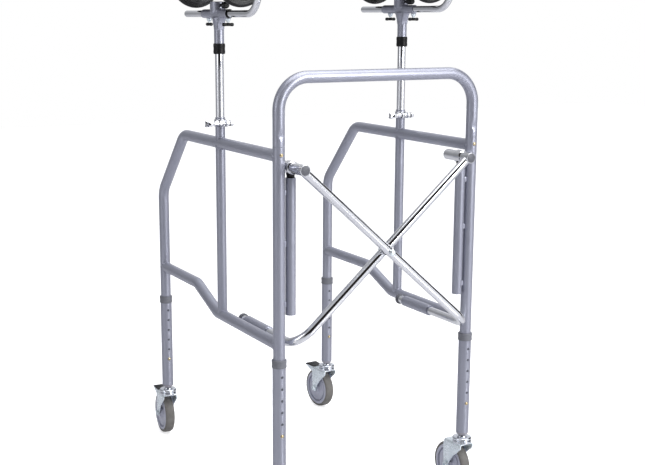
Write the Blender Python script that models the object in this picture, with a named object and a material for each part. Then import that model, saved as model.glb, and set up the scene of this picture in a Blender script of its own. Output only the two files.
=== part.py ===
"""A folding walking frame on four casters, with two forearm supports.

Metres, +Z up. The user walks towards -Y and stands between the side frames, at +Y.
Left is -X. The frame stands open on its casters, at its lowest leg setting.
The script measures Y from the front posts. The object's origin is ORIGIN_Y behind them,
on the floor, so every object is placed that much further forward.
Each object is one physical piece. A piece that moves has its origin on its joint's axis.
"""
import math

import bmesh
import bpy
from mathutils import Matrix, Vector

for stale in list(bpy.data.objects):
    bpy.data.objects.remove(stale, do_unlink=True)

# Driving sizes of the folding frame
HALF = 0.2375            # half the track of the side frames
DEPTH = 0.650            # front post to rear post
MID_Y = 0.291            # the post that carries the forearm support
TUBE_R = 0.0127          # bent frame tube
MID_R = 0.011            # middle post
POST_END_Z = 0.171       # lower end of the posts, inside the legs
RAIL_Z = 0.806           # top rail
SEAM_Z = 0.825           # where the arch lifts off the front posts
ARCH_Z = 0.964
ARCH_BEND = 0.066
SLOPE_TOP_Y = 0.504      # the rear of the top rail slopes down from here
SLOPE_END_Z = 0.652
BEND_R = 0.050
LOW_FRONT_Z = 0.408      # lower rail: low in front, stepped up behind
LOW_REAR_Z = 0.455
STEP_Y = (0.315, 0.435)
ORIGIN_Y = 0.3355
GAP = 0.0003             # clearance between pieces that are welded or touch
JOINT_Y = 0.006          # the rails' ends, inside the posts that they are welded to

# Cross brace
INSET = 0.027            # pivot and guide lines, inside the posts
PIVOT_X = HALF - INSET
PIVOT_Z = 0.409
TOP_Z = 0.782            # upper brace tubes
BRACE_R = 0.0095
BRACE_Y = {"a": -0.050, "b": -0.028}
PIVOT_END_Y = 0.238
SLEEVE_Y = (0.104, 0.211)
SLEEVE_R = 0.0125
SLEEVE_BORE = 0.0099
TOP_TUBE_R = 0.0115
TOP_TUBE_Y = {"a": (-0.065, 0.050), "b": (-0.040, 0.050)}
GUIDE_Z = (0.472, 0.761)
TAB_Z = (0.495, 0.625, 0.731)
TAB_HALF = (0.004, 0.006)   # half the thickness and half the height of a tab
GUIDE_R = 0.011
GUIDE_BORE = 0.0094
ROD_R = 0.0085
ROD_END_Z = 0.511
BRACE_BEND = 0.050
BRACE_BOLT_R = 0.004
EYE_R = (0.0118, 0.01375)   # the slider's eye: bore and outside
EYE_HALF = 0.011

# Legs and casters
LEG_R = 0.0143
LEG_BORE = 0.0131
LEG_Z = (0.140, 0.376)
BUTTON_Z = 0.2115
HOLE_PITCH = 0.026
HOLES = 6
BUTTON_R = 0.0038
ARCH_BUTTON_Z = 0.809
WHEEL_R = 0.053
TRAIL = 0.033            # axle behind the swivel
FORK_TOP_Z = 0.1125
SWIVEL_TOP_Z = 0.1315
PEDAL_Z = 0.1130
TRAIL_ANGLE = {"left_front": 0.0, "right_front": -4.0, "left_rear": 4.0, "right_rear": -6.0}

# Forearm supports: the two sides stand at slightly different heights
HEAD_Z = {"left": 1.089, "right": 1.0995}
SUPPORT_R = 0.0095
SUPPORT_LENGTH = 0.427
CLAMP_Z = 0.851
STEM_LENGTH = 0.0865
POST_IN_STEM = 0.030
HANDLE_R = 0.0075
HANDLE_REAR_Y = 0.472
HANDLE_FRONT_Y = 0.089
HANDLE_BEND = 0.052
HANDLE_RISE = 0.170
SLEEVE_HEAD_Y = (0.236, 0.372)
HEAD_SLEEVE_R = 0.0097
BOSS_Y = 0.297
BOSS_R = 0.017
SCREW_Y = (0.243, 0.344)
TROUGH_R = 0.048
TROUGH_SIDE = 0.012
TROUGH_RISE = 0.0268     # underside of the trough above the handle tube
# Half of the trough: distance from its middle, outer radius, inner radius
TROUGH_FLARE = ((0.000, 0.0480, 0.0360), (0.060, 0.0480, 0.0360), (0.088, 0.0490, 0.0365),
                (0.104, 0.0530, 0.0390), (0.113, 0.0590, 0.0430), (0.119, 0.0620, 0.0470),
                (0.124, 0.0615, 0.0495), (0.1285, 0.0580, 0.0530))
BAND_R = (MID_R + GAP, 0.0135)
BAND_HALF = 0.0075
EAR_X = (-0.0055, 0.0025)
EAR_WIDTH = 0.003
EAR_Y = (-0.031, -0.0125)
EAR_HALF = 0.007
CLAMP_BOLT_Y = -0.0235
CLAMP_BOLT_R = 0.0028
LEVER_X = (-0.046, -0.026)
LEVER_HALF = (0.0045, 0.0065)
BAR_HALF = (0.0130, 0.0045)   # the left rear thumb bar is turned a quarter
BAR_Z = (-0.0267, -0.0192)
SHANK_R = 0.0022

ROUND = 16


# ---- materials and meshes ----

def material(name, colour, metallic, roughness):
    mat = bpy.data.materials.new(name)
    mat.use_nodes = True
    shader = mat.node_tree.nodes["Principled BSDF"]
    shader.inputs["Base Color"].default_value = (*colour, 1.0)
    shader.inputs["Metallic"].default_value = metallic
    shader.inputs["Roughness"].default_value = roughness
    mat.diffuse_color = (*colour, 1.0)
    return mat


FINISHES = {
    "paint": ((0.33, 0.34, 0.42), 0.7, 0.35),
    "chrome": ((0.80, 0.81, 0.83), 1.0, 0.12),
    "zinc": ((0.55, 0.62, 0.68), 1.0, 0.30),
    "brass": ((0.60, 0.45, 0.22), 1.0, 0.30),
    "rubber": ((0.14, 0.13, 0.12), 0.0, 0.60),
    "black": ((0.02, 0.02, 0.022), 0.0, 0.40),
    "pad": ((0.03, 0.03, 0.032), 0.0, 0.70),
    "grey_plastic": ((0.20, 0.21, 0.25), 0.0, 0.45),
}


def new_object(name, mesh_data, origin=(0, 0, 0)):
    """Make an object from a bmesh, with its origin at the given point."""
    bmesh.ops.remove_doubles(mesh_data, verts=mesh_data.verts, dist=1e-6)
    bmesh.ops.recalc_face_normals(mesh_data, faces=mesh_data.faces)
    bmesh.ops.translate(mesh_data, verts=mesh_data.verts, vec=-Vector(origin))
    mesh = bpy.data.meshes.new(name)
    mesh_data.to_mesh(mesh)
    mesh_data.free()
    mesh.polygons.foreach_set("use_smooth", [True] * len(mesh.polygons))
    mesh.set_sharp_from_angle(angle=math.radians(35))
    obj = bpy.data.objects.new(name, mesh)
    obj.location = Vector(origin) - Vector((0, ORIGIN_Y, 0))
    bpy.context.scene.collection.objects.link(obj)
    return obj


def piece(name, finish, mesh_data, origin=(0, 0, 0)):
    obj = new_object(name, mesh_data, origin)
    obj.data.materials.append(material(name, *FINISHES[finish]))
    return obj


def apply_tool(obj, label, mesh_data, operation):
    """Cut or join a hidden helper solid with a live Boolean modifier."""
    helper = new_object(f"{obj.name}.{label}", mesh_data)
    helper.hide_render = True
    helper.display_type = "WIRE"
    modifier = obj.modifiers.new(label, "BOOLEAN")
    modifier.object = helper
    modifier.operation = operation
    modifier.solver = "EXACT"


def cut(obj, label, mesh_data):
    apply_tool(obj, label, mesh_data, "DIFFERENCE")


def join(obj, label, mesh_data):
    apply_tool(obj, label, mesh_data, "UNION")


# ---- shapes ----

def round_corners(points, radius, steps):
    """Replace each inner corner of a polyline by an arc."""
    points = [Vector(p) for p in points]
    path = [points[0]]
    for before, corner, after in zip(points, points[1:], points[2:]):
        come = (corner - before).normalized()
        leave = (after - corner).normalized()
        turn = come.angle(leave)
        start = corner - come * radius * math.tan(turn / 2)
        axis = come.cross(leave).normalized()
        centre = start + axis.cross(come) * radius
        for i in range(steps + 1):
            path.append(centre + Matrix.Rotation(turn * i / steps, 3, axis) @ (start - centre))
    path.append(points[-1])
    return path


def add_sweep(mesh_data, path, radius, normal, sides=ROUND):
    """Sweep a circle along a path in one plane, mitred at each point, with flat ends."""
    normal = Vector(normal).normalized()
    path = [Vector(p) for p in path]
    rings = []
    for i, point in enumerate(path):
        come = (point - path[i - 1]).normalized() if i else (path[1] - point).normalized()
        leave = (path[i + 1] - point).normalized() if i + 1 < len(path) else come
        along = (come + leave).normalized()
        side = along.cross(normal) / along.dot(come)
        ring = []
        for k in range(sides):
            angle = 2 * math.pi * (k + 0.5) / sides
            offset = side * math.cos(angle) + normal * math.sin(angle)
            ring.append(mesh_data.verts.new(point + offset * radius))
        rings.append(ring)
    for low, high in zip(rings, rings[1:]):
        for k in range(sides):
            m = (k + 1) % sides
            mesh_data.faces.new((low[k], low[m], high[m], high[k]))
    mesh_data.faces.new(rings[0])
    mesh_data.faces.new(rings[-1])
    return mesh_data


def swept(path, radius, normal, sides=ROUND):
    return add_sweep(bmesh.new(), path, radius, normal, sides)


def rod(start, end, radius, sides=ROUND):
    """A straight round bar."""
    along = Vector(end) - Vector(start)
    normal = Vector((0, 1, 0)) if abs(along.y) < 1e-9 else Vector((0, 0, 1))
    return swept([start, end], radius, normal, sides)


def turned(origin, axis, profile, closed=False, sides=ROUND, phase=0.5):
    """Turn a profile of (distance along the axis, radius). A closed profile is a ring."""
    mesh_data = bmesh.new()
    origin = Vector(origin)
    axis = Vector(axis)
    side = Vector((1, 0, 0)) if abs(axis.x) < 0.5 else Vector((0, 1, 0))
    side = (side - axis * side.dot(axis)).normalized()
    other = axis.cross(side)
    rings = []
    for distance, radius in profile:
        ring = []
        for k in range(sides):
            angle = 2 * math.pi * (k + phase) / sides
            offset = side * math.cos(angle) + other * math.sin(angle)
            ring.append(mesh_data.verts.new(origin + axis * distance + offset * radius))
        rings.append(ring)
    pairs = list(zip(rings, rings[1:]))
    if closed:
        pairs.append((rings[-1], rings[0]))
    for low, high in pairs:
        for k in range(sides):
            m = (k + 1) % sides
            mesh_data.faces.new((low[k], low[m], high[m], high[k]))
    if not closed:
        mesh_data.faces.new(rings[0])
        mesh_data.faces.new(rings[-1])
    return mesh_data


def pipe(start, end, radius, bore, sides=ROUND):
    """A straight tube, open at both ends."""
    along = Vector(end) - Vector(start)
    length = along.length
    profile = [(0, bore), (0, radius), (length, radius), (length, bore)]
    return turned(start, along / length, profile, True, sides)


def block(low, high):
    """A box between two corners."""
    mesh_data = bmesh.new()
    low = Vector(low)
    size = Vector(high) - low
    place = Matrix.Translation(low + size / 2) @ Matrix.Diagonal((*size, 1))
    bmesh.ops.create_cube(mesh_data, size=1, matrix=place)
    return mesh_data


def prism(outline, low, high, place):
    """Extrude an outline of (u, v) points along w, and put it at a place."""
    mesh_data = bmesh.new()
    loops = [[mesh_data.verts.new(place @ Vector((w, u, v))) for u, v in outline] for w in (low, high)]
    count = len(outline)
    for k in range(count):
        m = (k + 1) % count
        mesh_data.faces.new((loops[0][k], loops[0][m], loops[1][m], loops[1][k]))
    mesh_data.faces.new(loops[0])
    mesh_data.faces.new(loops[1])
    return mesh_data


def arc(centre, radius, start, end, steps):
    """Points of (u, v) on an arc, in degrees."""
    angles = [math.radians(start + (end - start) * i / steps) for i in range(steps + 1)]
    return [(centre[0] + radius * math.cos(a), centre[1] + radius * math.sin(a)) for a in angles]


# ---- side frames ----

def front_post(side, x, inner_x):
    """Front post with the guide tube that its three tabs hold on the inner side."""
    name = f"{side}_front_post"
    post = piece(name, "paint", rod((x, 0, POST_END_Z), (x, 0, SEAM_Z - GAP / 2), TUBE_R))
    reach = inner_x + math.copysign(GUIDE_R - 0.0008, x)
    near, far = sorted((reach, x))
    thick, tall = TAB_HALF
    for number, z in enumerate(TAB_Z):
        join(post, f"tab{number}", block((near, -thick, z - tall), (far, thick, z + tall)))
    low, high = GUIDE_Z
    join(post, "guide", pipe((inner_x, 0, low), (inner_x, 0, high), GUIDE_R, GUIDE_BORE))
    outside, inside = (x, -0.020, ARCH_BUTTON_Z), (x, -0.004, ARCH_BUTTON_Z)
    cut(post, "arch_button", rod(outside, inside, BUTTON_R + 2 * GAP, 8))
    cut(post, "slot", button_slot(x, 0))


def button_slot(x, y):
    """The open slot that a leg's button runs out through when the leg is drawn down."""
    half = BUTTON_R + 2 * GAP
    return block((x - half, y - 0.020, POST_END_Z - 0.01), (x + half, y - 0.005, BUTTON_Z + half))


def hoop(side, x):
    """Top rail, sloping rear end and rear post, bent from one tube."""
    corners = [(x, JOINT_Y, RAIL_Z), (x, SLOPE_TOP_Y, RAIL_Z), (x, DEPTH, SLOPE_END_Z),
               (x, DEPTH, POST_END_Z)]
    path = round_corners(corners, BEND_R, 4)
    tube = piece(f"{side}_hoop", "paint", swept(path, TUBE_R, (1, 0, 0)))
    cut(tube, "front_post", rod((x, 0, 0.7), (x, 0, 0.9), TUBE_R + GAP))
    cut(tube, "mid_post", rod((x, MID_Y, 0.7), (x, MID_Y, 0.9), MID_R + GAP))
    cut(tube, "slot", button_slot(x, DEPTH))


def mid_post(side, x):
    """Middle post, through the top rail and down to the lower rail, bored for the support."""
    low, high = LOW_FRONT_Z + JOINT_Y, CLAMP_Z + 0.012
    post = piece(f"{side}_mid_post", "paint", rod((x, MID_Y, low), (x, MID_Y, high), MID_R))
    cut(post, "lower_rail", rod((x, 0.2, LOW_FRONT_Z), (x, 0.4, LOW_FRONT_Z), TUBE_R + GAP))
    cut(post, "bore", rod((x, MID_Y, 0.45), (x, MID_Y, 0.95), SUPPORT_R + GAP))


def lower_rail(side, x, inner_x):
    """Lower rail, stepped up behind the middle post, with the brace's pivot sleeve welded on."""
    corners = [(x, JOINT_Y, LOW_FRONT_Z), (x, STEP_Y[0], LOW_FRONT_Z), (x, STEP_Y[1], LOW_REAR_Z),
               (x, DEPTH - JOINT_Y, LOW_REAR_Z)]
    path = round_corners(corners, 0.040, 3)
    rail = piece(f"{side}_lower_rail", "paint", swept(path, TUBE_R, (1, 0, 0)))
    cut(rail, "front_post", rod((x, 0, 0.3), (x, 0, 0.5), TUBE_R + GAP))
    cut(rail, "rear_post", rod((x, DEPTH, 0.3), (x, DEPTH, 0.6), TUBE_R + GAP))
    near, far = sorted((inner_x + math.copysign(0.0112, x), x - math.copysign(0.010, x)))
    front, rear = SLEEVE_Y
    join(rail, "web", block((near, front + 0.006, PIVOT_Z - 0.004), (far, rear - 0.006, PIVOT_Z + 0.004)))
    sleeve = pipe((inner_x, front, PIVOT_Z), (inner_x, rear, PIVOT_Z), SLEEVE_R, SLEEVE_BORE)
    join(rail, "sleeve", sleeve)


def snap_button(name, x, y, z, radius):
    """A sprung brass button, standing 2 mm out of a tube's front wall."""
    face = y - radius
    profile = [(-0.0020, 0.0014), (-0.0013, BUTTON_R), (0.0040, BUTTON_R)]
    piece(name, "brass", turned((x, face, z), (0, 1, 0), profile, sides=10), (x, face, z))


def arch():
    """The front arch, an upturned U that lifts off the front posts."""
    foot = SEAM_Z + GAP / 2
    corners = [(-HALF, 0, foot), (-HALF, 0, ARCH_Z), (HALF, 0, ARCH_Z), (HALF, 0, foot)]
    piece("arch", "paint", swept(round_corners(corners, ARCH_BEND, 6), TUBE_R, (0, 1, 0)), (0, 0, foot))


# ---- cross brace ----

def brace(label, foot_side):
    """A diagonal, bent back at its foot into its pivot, with the cross tube on its upper end."""
    y = BRACE_Y[label]
    foot = Vector((foot_side * PIVOT_X, y, PIVOT_Z))
    head = Vector((-foot_side * PIVOT_X, y, TOP_Z))
    end = (foot.x, PIVOT_END_Y, PIVOT_Z)
    normal = (head - foot).cross(Vector((0, 1, 0)))
    path = round_corners([head, foot, end], BRACE_BEND, 6)
    tube = piece(f"brace_{label}", "chrome", swept(path, BRACE_R, normal), (foot.x, 0, PIVOT_Z))
    front, rear = TOP_TUBE_Y[label]
    join(tube, "top", rod((head.x, front, TOP_Z), (head.x, rear, TOP_Z), TOP_TUBE_R))
    middle = (PIVOT_Z + TOP_Z) / 2
    cut(tube, "bolt", rod((0, -0.1, middle), (0, 0.05, middle), BRACE_BOLT_R + GAP, 12))


def cross_bolt():
    """The bolt that the two braces turn on, with its head, washer and nut."""
    head_end = [(-0.0655, 0.0060), (-0.0645, 0.0075), (-0.0598, 0.0075), (-0.0598, BRACE_BOLT_R)]
    washer = [(-0.0402, BRACE_BOLT_R), (-0.0402, 0.0090), (-0.0378, 0.0090), (-0.0378, BRACE_BOLT_R)]
    nut = [(-0.0182, BRACE_BOLT_R), (-0.0182, 0.0065), (-0.0130, 0.0065)]
    profile = head_end + washer + nut
    centre = (0, 0, (PIVOT_Z + TOP_Z) / 2)
    piece("cross_bolt", "zinc", turned(centre, (0, 1, 0), profile, sides=12), centre)


def slider(side, inner_x):
    """The rod that hangs from a brace's upper tube and runs in the guide tube."""
    centre = (inner_x, 0, TOP_Z)
    bore, outside = EYE_R
    ring = [(-EYE_HALF, bore), (-EYE_HALF, outside), (EYE_HALF, outside), (EYE_HALF, bore)]
    eye = piece(f"{side}_slider", "black", turned(centre, (0, 1, 0), ring, True), centre)
    join(eye, "rod", rod((inner_x, 0, ROD_END_Z), (inner_x, 0, TOP_Z - 0.0125), ROD_R))


# ---- legs and casters ----

def leg(name, x, y):
    """An outer leg tube with its row of height holes, and its snap button."""
    low, high = (x, y, LEG_Z[0]), (x, y, LEG_Z[1])
    tube = piece(f"{name}_leg", "paint", pipe(low, high, LEG_R, LEG_BORE), low)
    for number in range(HOLES):
        z = BUTTON_Z + HOLE_PITCH * number
        hole = rod((x, y - 0.020, z), (x, y - 0.010, z), BUTTON_R + GAP, 8)
        cut(tube, f"hole{number}", hole)
    snap_button(f"{name}_leg_button", x, y, BUTTON_Z, LEG_R)


def caster(name, x, y, has_brake):
    """A plug and stem, a pressed fork on a ball race, a wheel and, at the rear, a brake pedal."""
    place = Matrix.Translation((x, y, 0)) @ Matrix.Rotation(math.radians(-TRAIL_ANGLE[name]), 4, "Z")
    stem = [(SWIVEL_TOP_Z + GAP, 0.0075), (SWIVEL_TOP_Z + 0.0015, 0.0095), (LEG_Z[0] - 0.003, 0.0135),
            (LEG_Z[0] - GAP, LEG_R), (LEG_Z[0] - GAP, 0.0128), (0.165, 0.0128)]
    piece(f"{name}_stem", "grey_plastic", turned((x, y, 0), (0, 0, 1), stem), (x, y, LEG_Z[0]))

    top = FORK_TOP_Z
    outline = [(-0.017, top + 0.002), (-0.017, top - 0.010), (0.020, WHEEL_R + 0.002)]
    outline += arc((TRAIL, WHEEL_R), 0.009, 215, 350, 5)
    outline += [(0.040, top - 0.027), (0.037, top + 0.010), (0.026, top + 0.010), (0.022, top + 0.002)]
    fork = piece(f"{name}_fork", "zinc", prism(outline, -0.019, 0.019, place), (x, y, SWIVEL_TOP_Z))
    slot = [(-0.06, 0.0), (0.08, 0.0), (0.08, 0.14), (0.0235, 0.14), (0.0235, top), (-0.06, top)]
    cut(fork, "slot", prism(slot, -0.0165, 0.0165, place))
    race = [(top + 0.0005, 0.0195), (top + 0.0040, 0.022), (top + 0.0085, 0.0205), (top + 0.0130, 0.022),
            (top + 0.0165, 0.021), (SWIVEL_TOP_Z, 0.017)]
    join(fork, "race", turned((x, y, 0), (0, 0, 1), race))

    axle = place @ Vector((0, TRAIL, WHEEL_R))
    half = [(0.0162, 0.0085), (0.0105, 0.0120), (0.0125, 0.0430), (0.0120, 0.0495), (0.0085, WHEEL_R)]
    profile = [(-d, r) for d, r in half] + [(d, r) for d, r in reversed(half)]
    across = place.to_3x3() @ Vector((1, 0, 0))
    piece(f"{name}_wheel", "rubber", turned(axle, across, profile, sides=24, phase=0), axle)

    if has_brake:
        z = PEDAL_Z
        lever = [(0.0275, z - 0.0030), (0.034, z - 0.0045), (0.050, z - 0.0040), (0.083, z - 0.0040),
                 (0.083, z + 0.0020), (0.070, z + 0.0045), (0.0275, z + 0.0040)]
        hinge = place @ Vector((0, 0.031, z))
        pedal = piece(f"{name}_pedal", "zinc", prism(lever, -0.0155, 0.0155, place), hinge)
        flange = [(0.0285, z), (0.0285, z - 0.014), (0.040, z - 0.018), (0.066, z - 0.009), (0.080, z)]
        for number, edge in enumerate((-0.0155, 0.0139)):
            join(pedal, f"flange{number}", prism(flange, edge, edge + 0.0016, place))


# ---- forearm supports ----

def support(side, x):
    """A chrome post in the middle post, with the clamp that holds it."""
    stem_low = HEAD_Z[side] - STEM_LENGTH
    top = stem_low + POST_IN_STEM
    post = rod((x, MID_Y, top - SUPPORT_LENGTH), (x, MID_Y, top), SUPPORT_R)
    piece(f"{side}_support_post", "chrome", post, (x, MID_Y, CLAMP_Z))

    bore, outside = BAND_R
    band = [(-BAND_HALF, bore), (-BAND_HALF, outside), (BAND_HALF, outside), (BAND_HALF, bore)]
    clamp = piece(f"{side}_clamp", "chrome", turned((x, MID_Y, CLAMP_Z), (0, 0, 1), band, True))
    front, rear = MID_Y + EAR_Y[0], MID_Y + EAR_Y[1]
    for number, edge in enumerate(EAR_X):
        ear = block((x + edge, front, CLAMP_Z - EAR_HALF), (x + edge + EAR_WIDTH, rear, CLAMP_Z + EAR_HALF))
        join(clamp, f"ear{number}", ear)
    bolt_y = MID_Y + CLAMP_BOLT_Y
    centre = (x, bolt_y, CLAMP_Z)
    cut(clamp, "bolt", rod((x - 0.01, bolt_y, CLAMP_Z), (x + 0.01, bolt_y, CLAMP_Z), CLAMP_BOLT_R + GAP, 12))

    bolt = [(-0.0270, 0.0050), (-0.0058, 0.0050), (-0.0058, CLAMP_BOLT_R), (0.0058, CLAMP_BOLT_R),
            (0.0058, 0.0060), (0.0220, 0.0060)]
    lever = piece(f"{side}_clamp_lever", "chrome", turned(centre, (1, 0, 0), bolt, sides=12), centre)
    thick, tall = LEVER_HALF
    left, right = x + LEVER_X[0], x + LEVER_X[1]
    plate = block((left, bolt_y - thick, CLAMP_Z - tall), (right, bolt_y + thick, CLAMP_Z + tall))
    join(lever, "handle", plate)


def head(side, x):
    """The T-head: stem, sleeve for the handle tube, boss for the trough, two screw nuts."""
    z = HEAD_Z[side]
    stem = [(-STEM_LENGTH, 0.011), (-0.032, 0.011), (-0.012, 0.0150), (-0.005, 0.0160)]
    body = piece(f"{side}_head", "paint", turned((x, MID_Y, z), (0, 0, 1), stem))
    join(body, "sleeve", rod((x, SLEEVE_HEAD_Y[0], z), (x, SLEEVE_HEAD_Y[1], z), HEAD_SLEEVE_R))
    join(body, "boss", rod((x, BOSS_Y, z + 0.004), (x, BOSS_Y, z + TROUGH_RISE - GAP), BOSS_R))
    for number, y in enumerate(SCREW_Y):
        nut = [(-0.0170, 0.0032), (-0.0085, 0.0062), (-0.0060, 0.0065)]
        join(body, f"nut{number}", turned((x, y, z), (0, 0, 1), nut, sides=12))
    cut(body, "sleeve_bore", rod((x, 0.1, z), (x, 0.5, z), HANDLE_R + GAP))
    bore_end = z - STEM_LENGTH + POST_IN_STEM + 2 * GAP
    cut(body, "post_bore", rod((x, MID_Y, z - 0.1), (x, MID_Y, bore_end), SUPPORT_R + GAP))

    low, high = z + BAR_Z[0], z + BAR_Z[1]
    for label, y in zip(("front", "rear"), SCREW_Y):
        long, wide = BAR_HALF
        if (side, label) == ("left", "rear"):
            long, wide = wide, long
        shank = rod((x, y, z - 0.022), (x, y, z - 0.0173), SHANK_R, 10)
        screw = piece(f"{side}_{label}_knob", "black", shank, (x, y, z - 0.0173))
        join(screw, "bar", block((x - long, y - wide, low), (x + long, y + wide, high)))

    knob = [(-0.0500, 0.0058), (-0.0485, 0.0072), (-0.0300, 0.0072), (-0.0275, 0.0035), (-0.0174, 0.0035)]
    height = z + 0.0178
    lock = turned((x, BOSS_Y, height), (0, 1, 0), knob, sides=12)
    piece(f"{side}_lock_knob", "black", lock, (x, BOSS_Y - 0.0174, height))


def handle(side, x):
    """The handle tube, bent up in front of the trough, and its hand grip."""
    z = HEAD_Z[side]
    corners = [(x, HANDLE_REAR_Y, z), (x, HANDLE_FRONT_Y, z), (x, HANDLE_FRONT_Y, z + HANDLE_RISE)]
    path = round_corners(corners, HANDLE_BEND, 6)
    piece(f"{side}_handle", "chrome", swept(path, HANDLE_R, (1, 0, 0)), (x, HANDLE_REAR_Y, z))
    bore = HANDLE_R + GAP
    grip = [(0.060, bore), (0.060, 0.0150), (0.064, 0.0165), (0.168, 0.0165), (0.176, 0.0120),
            (0.177, 0.0040), (HANDLE_RISE + 0.001, 0.0040), (HANDLE_RISE + 0.001, bore)]
    foot = (x, HANDLE_FRONT_Y, z)
    piece(f"{side}_grip", "black", turned(foot, (0, 0, 1), grip, True), foot)


def trough(side, x):
    """The forearm trough: a padded channel with flared ends, turning on the head's boss."""
    centre = Vector((x, BOSS_Y, HEAD_Z[side] + TROUGH_RISE + TROUGH_R))
    half = list(TROUGH_FLARE)
    sections = [(-d, outer, inner) for d, outer, inner in reversed(half[1:])] + half
    mesh_data = bmesh.new()
    rings = []
    for distance, outer, inner in sections:
        outline = [(-outer, TROUGH_SIDE)] + arc((0, 0), outer, 180, 360, 14) + [(outer, TROUGH_SIDE)]
        outline += [(inner, TROUGH_SIDE)] + arc((0, 0), inner, 360, 180, 14) + [(-inner, TROUGH_SIDE)]
        rings.append([mesh_data.verts.new(centre + Vector((u, distance, v))) for u, v in outline])
    for near, far in zip(rings, rings[1:]):
        for k in range(len(near)):
            m = (k + 1) % len(near)
            mesh_data.faces.new((near[k], near[m], far[m], far[k]))
    mesh_data.faces.new(rings[0])
    mesh_data.faces.new(rings[-1])
    piece(f"{side}_trough", "pad", mesh_data, (x, BOSS_Y, HEAD_Z[side] + TROUGH_RISE))


def build():
    for side, sign in (("left", -1), ("right", 1)):
        x = sign * HALF
        inner_x = sign * PIVOT_X
        front_post(side, x, inner_x)
        hoop(side, x)
        mid_post(side, x)
        lower_rail(side, x, inner_x)
        snap_button(f"{side}_arch_button", x, 0, ARCH_BUTTON_Z, TUBE_R)
        slider(side, inner_x)
        for end, y in (("front", 0.0), ("rear", DEPTH)):
            leg(f"{side}_{end}", x, y)
            caster(f"{side}_{end}", x, y, end == "rear")
        support(side, x)
        head(side, x)
        handle(side, x)
        trough(side, x)
    arch()
    brace("a", 1)
    brace("b", -1)
    cross_bolt()


build()
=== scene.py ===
"""A folding walking frame on casters, in silver-grey lacquer and chrome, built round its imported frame."""
import math

import bmesh
import bpy
from mathutils import Matrix, Vector


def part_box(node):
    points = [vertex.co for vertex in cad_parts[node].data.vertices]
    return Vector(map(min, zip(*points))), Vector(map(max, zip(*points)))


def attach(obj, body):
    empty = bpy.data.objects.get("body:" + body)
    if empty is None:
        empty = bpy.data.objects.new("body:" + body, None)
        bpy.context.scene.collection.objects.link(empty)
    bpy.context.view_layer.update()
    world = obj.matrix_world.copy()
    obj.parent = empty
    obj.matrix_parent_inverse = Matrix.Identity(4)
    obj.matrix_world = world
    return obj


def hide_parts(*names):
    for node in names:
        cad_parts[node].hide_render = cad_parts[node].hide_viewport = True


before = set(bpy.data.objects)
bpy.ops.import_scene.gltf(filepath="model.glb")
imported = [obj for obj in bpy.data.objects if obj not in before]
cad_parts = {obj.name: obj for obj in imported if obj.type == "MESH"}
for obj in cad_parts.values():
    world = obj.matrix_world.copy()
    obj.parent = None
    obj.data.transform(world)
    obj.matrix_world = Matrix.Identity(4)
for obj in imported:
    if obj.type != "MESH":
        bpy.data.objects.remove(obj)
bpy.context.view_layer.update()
bpy.context.scene.view_settings.view_transform = "Standard"


# ---- The studio ----
# A white sweep lit by three soft boxes. The metal mirrors a pale tent, with a dark opening round the
# camera and a dark screen at one side.

def show(name, data):
    thing = bpy.data.objects.new(name, data)
    bpy.context.scene.collection.objects.link(thing)
    return thing


def keep_mesh(name, metal):
    mesh = bpy.data.meshes.new(name)
    metal.to_mesh(mesh)
    metal.free()
    return mesh


def ranged(tree, value, low, high, from_low=0.0, from_high=1.0, curve="LINEAR"):
    """Bring a node's value from one range into another."""
    node = tree.nodes.new("ShaderNodeMapRange")
    node.interpolation_type = curve
    for name, limit in (("From Min", from_low), ("From Max", from_high), ("To Min", low), ("To Max", high)):
        node.inputs[name].default_value = limit
    tree.links.new(value, node.inputs["Value"])
    return node.outputs["Result"]


def blend(tree, factor, first, second):
    """Mix two colours, each given as three numbers or by another node."""
    node = tree.nodes.new("ShaderNodeMix")
    node.data_type = "RGBA"
    for socket, value in ((0, factor), (6, first), (7, second)):
        if isinstance(value, float):
            node.inputs[socket].default_value = value
        elif isinstance(value, tuple):
            node.inputs[socket].default_value = (*value, 1)
        else:
            tree.links.new(value, node.inputs[socket])
    return node.outputs[2]


camera = show("camera", bpy.data.cameras.new("camera"))
camera.location = (-1.3119, -2.47495, 1.0877)
camera.rotation_euler = (math.radians(78.04), 0, math.radians(-27.25))
camera.data.lens = 66.07
camera.data.sensor_width = 36
camera.data.shift_x = 0.0492
camera.data.shift_y = 0.0505
camera.data.clip_start = 0.05
bpy.context.scene.camera = camera


def soft_box(name, place, target, width, height, power):
    light = bpy.data.lights.new(name, "AREA")
    light.shape = "RECTANGLE"
    light.size = width
    light.size_y = height
    light.energy = power
    box = show(name, light)
    box.location = place
    box.rotation_euler = (Vector(target) - Vector(place)).to_track_quat("-Z", "Y").to_euler()


soft_box("overhead_box", (0.4, -0.6, 3.6), (0, 0, 0.3), 3.0, 3.0, 85)
soft_box("window_box", (1.4, -3.4, 1.8), (0, 0, 0.7), 0.9, 2.4, 85)
soft_box("fill_box", (-3.6, -0.4, 1.6), (0, 0, 0.6), 1.6, 2.4, 22)


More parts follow.
